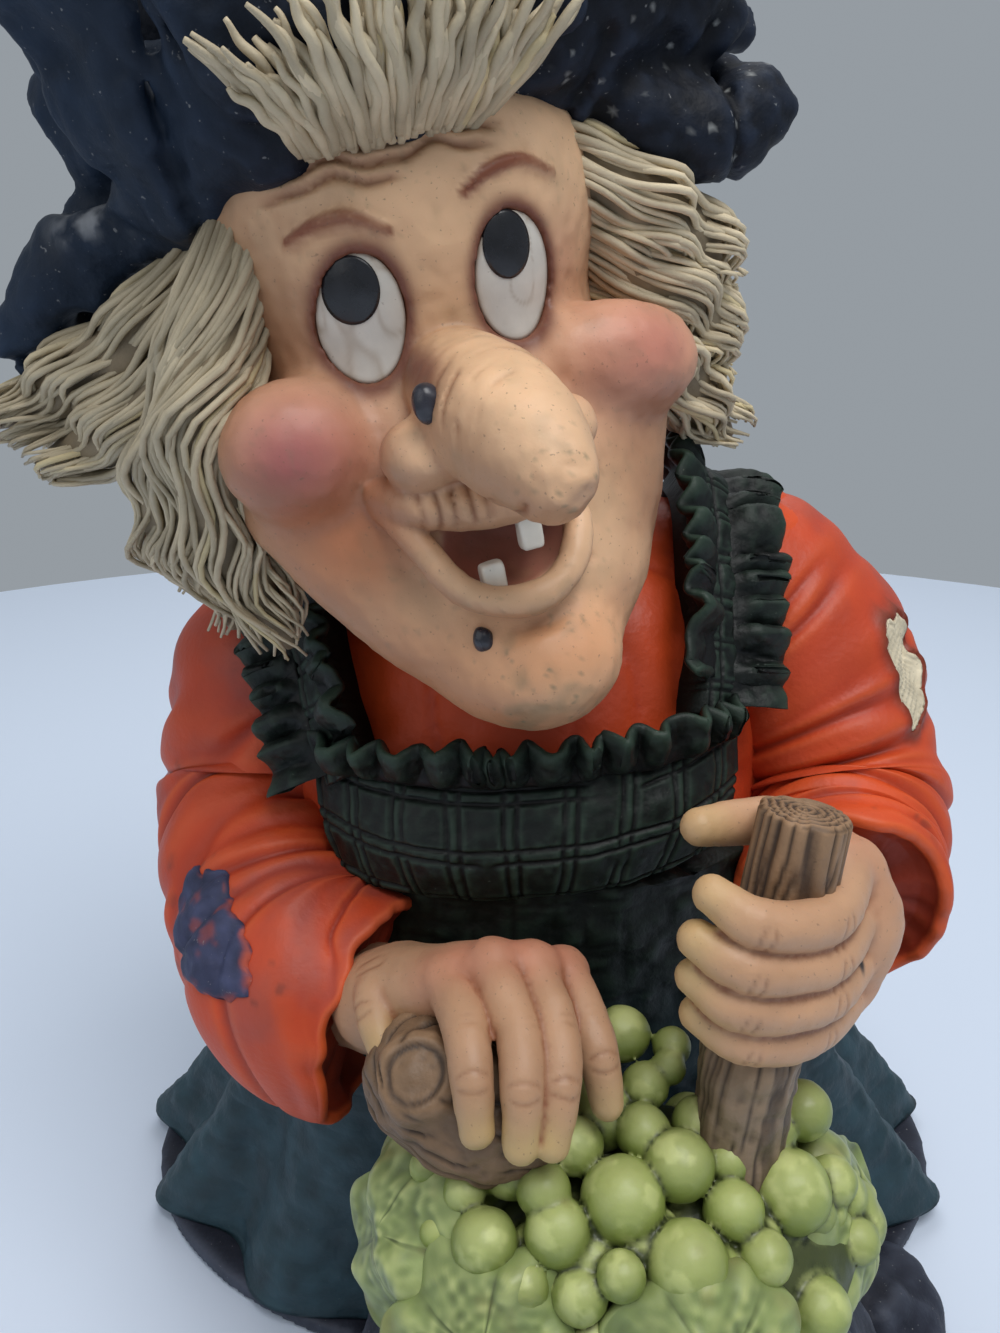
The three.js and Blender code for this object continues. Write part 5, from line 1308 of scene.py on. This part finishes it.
# brim: spokes of clay from the band to the rim, run together, with thicker lobes where it is folded or torn
brim = newClay(hat["low"], hat["high"], hat["pitch"])
degrees = np.arange(-180, 180, 7.5)
angles = np.radians(degrees)
(leftTear, backTear), lobeAt = hat["tears"], hat["lobe"]
leftFront, rightFront = step(degrees, leftTear - 8, leftTear + 9), 1 - step(degrees, lobeAt - 26, lobeAt + 52)
front = np.where(degrees < 0, leftFront, rightFront)
torn = bell(degrees - leftTear, 7) + bell(degrees - backTear, 10)
rimRound = hat["reach"] - hat["short"] * front + 10 * bell(degrees - lobeAt, 20) - hat["tear"] * torn
rimRound = rimRound + 2.2 * np.sin(9 * angles + 1) + 1.6 * np.sin(17 * angles)
rootHigh = hat["bandHigh"] + 7.0 * bell(degrees - 12, 44)
rimHigh = hat["bandHigh"] + hat["droop"] + (hat["turnUp"] - hat["droop"]) * front + 1.8 * np.sin(7 * angles)
for angle, far, high, rootZ in zip(angles, rimRound, rimHigh, rootHigh):
    middle = ((hat["bandRound"] + far) / 2, rootZ + 0.4 * (high - rootZ), 5.0)
    rows = ((hat["bandRound"], rootZ, 5.5), middle, (far - 4, high, 4.4))
    addLimb(brim, [(math.sin(angle) * r, -math.cos(angle) * r, z, t) for r, z, t in rows], soft=4.0, parts=6)
for lobe in hat["lobes"]:
    addLimb(brim, lobe, soft=2.5, parts=8)
p = clayPlaces(brim)
valleys = bell(lumps(p, 21, 218), 0.13)
uneven = 2.2 * lumps(p, 15, 212) + 1.2 * grit(p, 8, 2, 213) + 1.9 * valleys
brim["value"] = (brim["value"] + uneven).astype(np.float32)
points, faces = skinOf(brim)
points = pushed(points, faces, 0.45 * grit(points, 3.5, 2, 216))
colour = navyColours(points, faces, 214)
colour = tint(colour, mottled(points, hat["slate"], 0.25, 6, 3, 219), 0.6 * step(-points[:, 0], 8, 44))
worn = glow(points, *hat["wornPlace"]) * step(grit(points, 3, 3, 215), -0.3, 0.4)
colour = tint(colour, hat["worn"], 0.9 * worn)
dusty = step(lumps(points, 0.8, 217), 0.74, 0.84) * step(points[:, 0], 8, 24) * step(-points[:, 1], 5, 18)
colour = tint(colour, hat["dust"], 0.5 * dusty)
makePiece("hatBrim", fromHead(points), faces, colour, "navy", "hat_brim")

# crown: circles carried up a path that leans back, with slumped folds round it
rows, columns = 120, 150
path = curve(hat["crown"], rows)
across, over = pathFrame(path[:, :3], (1, 0, 0))[1:]
a = ringAngles(columns)
t = np.linspace(0, 1, rows)[:, None]
around = circle(a, 2.2 * t)
slump = sum(bell(t - place - 0.05 * np.sin(a + turn), 0.022) for place, turn in hat["slumps"])
size = path[:, 3:] * (1 + 0.06 * grit(around, 0.7, 2, 221) - 0.09 * slump) + 0.8 * grit(around, 0.25, 2, 222)
points, faces = poled(path[:, None, :3] + size[..., None] * spokes(a, across, over))
makePiece("hatCrown", fromHead(points), faces, navyColours(points, faces, 223), "navy", "hat_crown")
print("hat done")

# hair: string-like strands laid round thick locks, in the head's own frame
hair = {
    "left": [[(-17, -2, 27), (-38, 2, 11), (-55, 13, 4), (-70, 21, 0)],
             [(-17, -5, 28), (-36, -4, 4), (-52, 9, -5), (-65, 18, -8)],
             [(-17, -7, 29), (-35.5, -12, 2), (-46, 2, -18), (-46, 9, -33)],
             [(-17, -9, 30), (-34.5, -19, 4), (-41, -9, -20), (-41, -2, -40)],
             [(-17, -10, 30), (-35.5, -20, 2), (-38, -14, -22), (-33, -12, -43)]],
    "right": [[(22, -15, 29), (34, -19, 17.5), (45.5, -17, 8), (52.5, -14, -2)],
              [(24, -12, 18), (38, -16, 5), (48, -13, -6), (49, -11, -17)],
              [(24, -8, 6), (39, -13, -6), (46, -11, -17), (54, -8, -28)]],
    "tone": {"left": 0.9, "right": 1.08}, "size": 6.2, "swell": (0.8, 1.15, 1.0, 0.55),
    "core": (0.92, 1.0304, 0.828, 0.184), "perLock": 50, "thread": 0.6,
    "rings": 30, "sides": 6, "coreSides": 14, "up": (0.13, 0.21, 1.0),
    "string": shade(202, 187, 158), "deep": shade(130, 115, 92), "straw": shade(206, 186, 118),
}


# tubes: a circle carried along each path, its radius changing on the way, both ends capped, facing out
def tubes(paths, radii, sides):
    count, rows = paths.shape[:2]
    across, over = pathFrame(paths, hair["up"])[1:]
    points = paths[:, :, None] + radii[..., None, None] * spokes(ringAngles(sides), across, over)
    first = np.arange(sides) + (np.arange(count) * rows * sides)[:, None]
    caps = np.concatenate([first[:, ::-1], first + (rows - 1) * sides])
    faces = [gridFaces(rows, sides, True, count), caps]
    return points.reshape(-1, 3), [np.roll(f[:, ::-1], 1, 1) for f in faces]


# strands: thin tubes on paths, each waving sideways by its own amount
def strands(paths, seed, radius, wave):
    dice = np.random.default_rng(seed)
    count, rows = paths.shape[:2]
    across, over = pathFrame(paths, hair["up"])[1:]
    s = np.linspace(0, 1, rows)[None, :]
    phase, pace = dice.uniform(0, 6.3, (2, count, 1)), dice.uniform(9, 19, (count, 1))
    reach = dice.uniform(0.3, 1.0, (count, 1)) * wave * s ** 0.5
    paths = paths + across * (reach * np.sin(pace * s + phase[0]))[..., None]
    paths = paths + over * (0.5 * reach * np.cos(0.8 * pace * s + phase[1]))[..., None]
    thick = radius * dice.uniform(0.8, 1.2, (count, 1)) * (1 - 0.55 * s ** 5)
    points, faces = tubes(paths, thick, hair["sides"])
    tone = np.repeat(dice.uniform(0, 1, count), rows * hair["sides"])
    down = np.tile(np.repeat(s[0], hair["sides"]), count)
    colour = hair["string"] * (0.76 + 0.36 * tone)[:, None]
    colour = tint(colour, hair["straw"], 0.35 * step(tone, 0.93, 0.97))
    # darker towards the root, painted shade under the brim, and in lumps along the strands
    deep = 0.28 * (1 - step(down, 0.0, 0.35)) + 0.22 * step(lumps(points, 7, 231), 0.0, 0.8)
    return points, faces, tint(colour, hair["deep"], deep)


# lock: paths spaced round a guide route at the lock's own size
def lockPaths(route, seed):
    dice = np.random.default_rng(seed)
    count = hair["perLock"]
    ends = dice.uniform(0.9, 1.06, count)
    guide = curve(np.column_stack([route, hair["swell"]]), 80)
    across, over = pathFrame(guide[:, :3], hair["up"])[1:]
    s = np.linspace(0, 1, hair["rings"])[None, :] * np.minimum(ends, 1)[:, None]
    angle = np.arange(count) / count * 2 * np.pi + dice.uniform(-0.1, 0.1, count)
    angle = angle[:, None] + 0.9 * s * dice.uniform(0.3, 1.0)
    middle, sideways = rowsAt(guide, s), rowsAt(across, s)
    far = hair["size"] * dice.uniform(0.88, 1.08, count)[:, None] * middle[..., 3]
    sway = 2.3 * s ** 0.7 * np.sin(20 * s + 1.3 * np.sin(2 * angle) + seed)
    spoke = np.cos(angle)[..., None] * sideways + np.sin(angle)[..., None] * rowsAt(over, s)
    return middle[..., :3] + far[..., None] * spoke + sway[..., None] * sideways


def coreTube(core):
    return tubes(core[None, :, :3], core[None, :, 3], hair["coreSides"])


# hair piece: strands and the solid cores under them, gathered into one skin
def hairPiece(name, node, paths, cores, seed, radius, wave, tone=1.0, coreSeed=233):
    points, faces, colour = strands(paths, seed, radius, wave)
    points, faces, colour = [points], list(faces), [colour * tone]
    for corePoints, coreFaces in cores:
        faces += [f + sum(map(len, points)) for f in coreFaces]
        points.append(corePoints)
        # the cores under the strands are painted deep brown: painted shade in the gaps between strands
        colour.append(mottled(corePoints, hair["deep"], 0.2, 2, 1, coreSeed))
    makePiece(name, fromHead(np.concatenate(points)), faces, np.concatenate(colour), "hair", node)


for side in ("left", "right"):
    locks = hair[side]
    paths = np.concatenate([lockPaths(route, 300 + i) for i, route in enumerate(locks)])
    coreRound = hair["size"] * np.array(hair["core"])
    cores = [coreTube(curve(np.column_stack([route, coreRound]), 24)) for route in locks]
    seed, tone = 310 + len(side), hair["tone"][side]
    hairPiece("hair" + side.title(), "hair_" + side, paths, cores, seed, hair["thread"], wave=1.7, tone=tone)

# back hair: strands hang from under the brim over the back of the head, in three layers
backHair = {
    "perLayer": 66, "layers": (0.0, 1.6, 3.2), "span": (-98, 118), "tail": (-36, -27), "tailRise": 1.5625,
    "core": [(0, 8, 20, 28.5), (0, 13, 8, 31.0), (0, 17.5, -8, 31.5), (0, 17, -23, 29.5)], "coreDeep": 0.82,
}
dice = np.random.default_rng(33)
count = backHair["perLayer"] * len(backHair["layers"])
theta = np.tile(np.linspace(*backHair["span"], backHair["perLayer"]), 3) + dice.uniform(-2, 2, count)
theta = np.radians(theta)
layer = np.repeat(backHair["layers"], backHair["perLayer"])
x, y = (31 + layer) * np.sin(theta), 6 + (27 + layer) * np.cos(theta)
tail = dice.uniform(*backHair["tail"], count) + backHair["tailRise"] * layer
levels = ((0.97, 0, 26.5), (1.0, 6, 8.0), (1.06, 12, -10.0), (0.98, 11, tail))
guide = [np.stack([x * wide, y + back * np.cos(theta), z + 0 * x], -1) for wide, back, z in levels]
guide = np.stack(guide, 1)
core = curve(backHair["core"], 20)[:, None]
oval = circle(np.pi / 2 - ringAngles(60)) * np.array([1, backHair["coreDeep"], 0])
shell = poled(core[..., :3] + core[..., 3:] * oval)
paths = curve(guide, hair["rings"])
hairPiece("hairBack", "hair_back", paths, [shell], seed=35, radius=0.85, wave=1.2, coreSeed=235)

# fringe: strands fan up from the hairline over the turned-up brim, in three layers
fringe = {
    "perLayer": 38, "layers": (0.0, 1.3, 2.6), "span": (-1.1, 1.06), "lengths": (12.5, 22.0),
    "bows": ((0, 0), (0.35, 4.4), (0.7, 4.6), (1, 3.0)),
    "core": [(-13, -30.5, 33, 1.8), (-8, -32, 32.8, 2.2), (-2, -32.6, 32.6, 2.4), (4, -32, 32.8, 2.2),
             (9, -30.5, 33, 1.8)],
}
dice = np.random.default_rng(41)
count = fringe["perLayer"] * len(fringe["layers"])
across = np.tile(np.linspace(*fringe["span"], fringe["perLayer"]), 3) + dice.uniform(-0.05, 0.05, count)
layer = np.repeat(fringe["layers"], fringe["perLayer"])
rootHigh = 29.3 + 0.3 * layer + dice.uniform(-0.8, 0.8, count)
root = np.stack([11.6 * across - 2.6, 4 * across**2 - 35.4 - 0.5 * layer, rootHigh], -1)
fan = 0.65 * across + dice.uniform(-0.2, 0.2, count)
lift = unit(np.stack([fan, -0.42 - 0.09 * layer, 1 - 0.3 * across**2], -1))
lift = lift * dice.uniform(*fringe["lengths"], count)[:, None]
guide = np.stack([root + share * lift + np.array([0, -bow, 0]) for share, bow in fringe["bows"]], 1)
core = coreTube(curve(fringe["core"], 30))
paths = curve(guide, hair["rings"])
hairPiece("hairFringe", "hair_fringe", paths, [core], seed=43, radius=0.78, wave=0.7)
print("hair done")

size = {"cad": [list(v) for v in cadBox], "visual": [list(v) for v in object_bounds()]}
print("size", size)
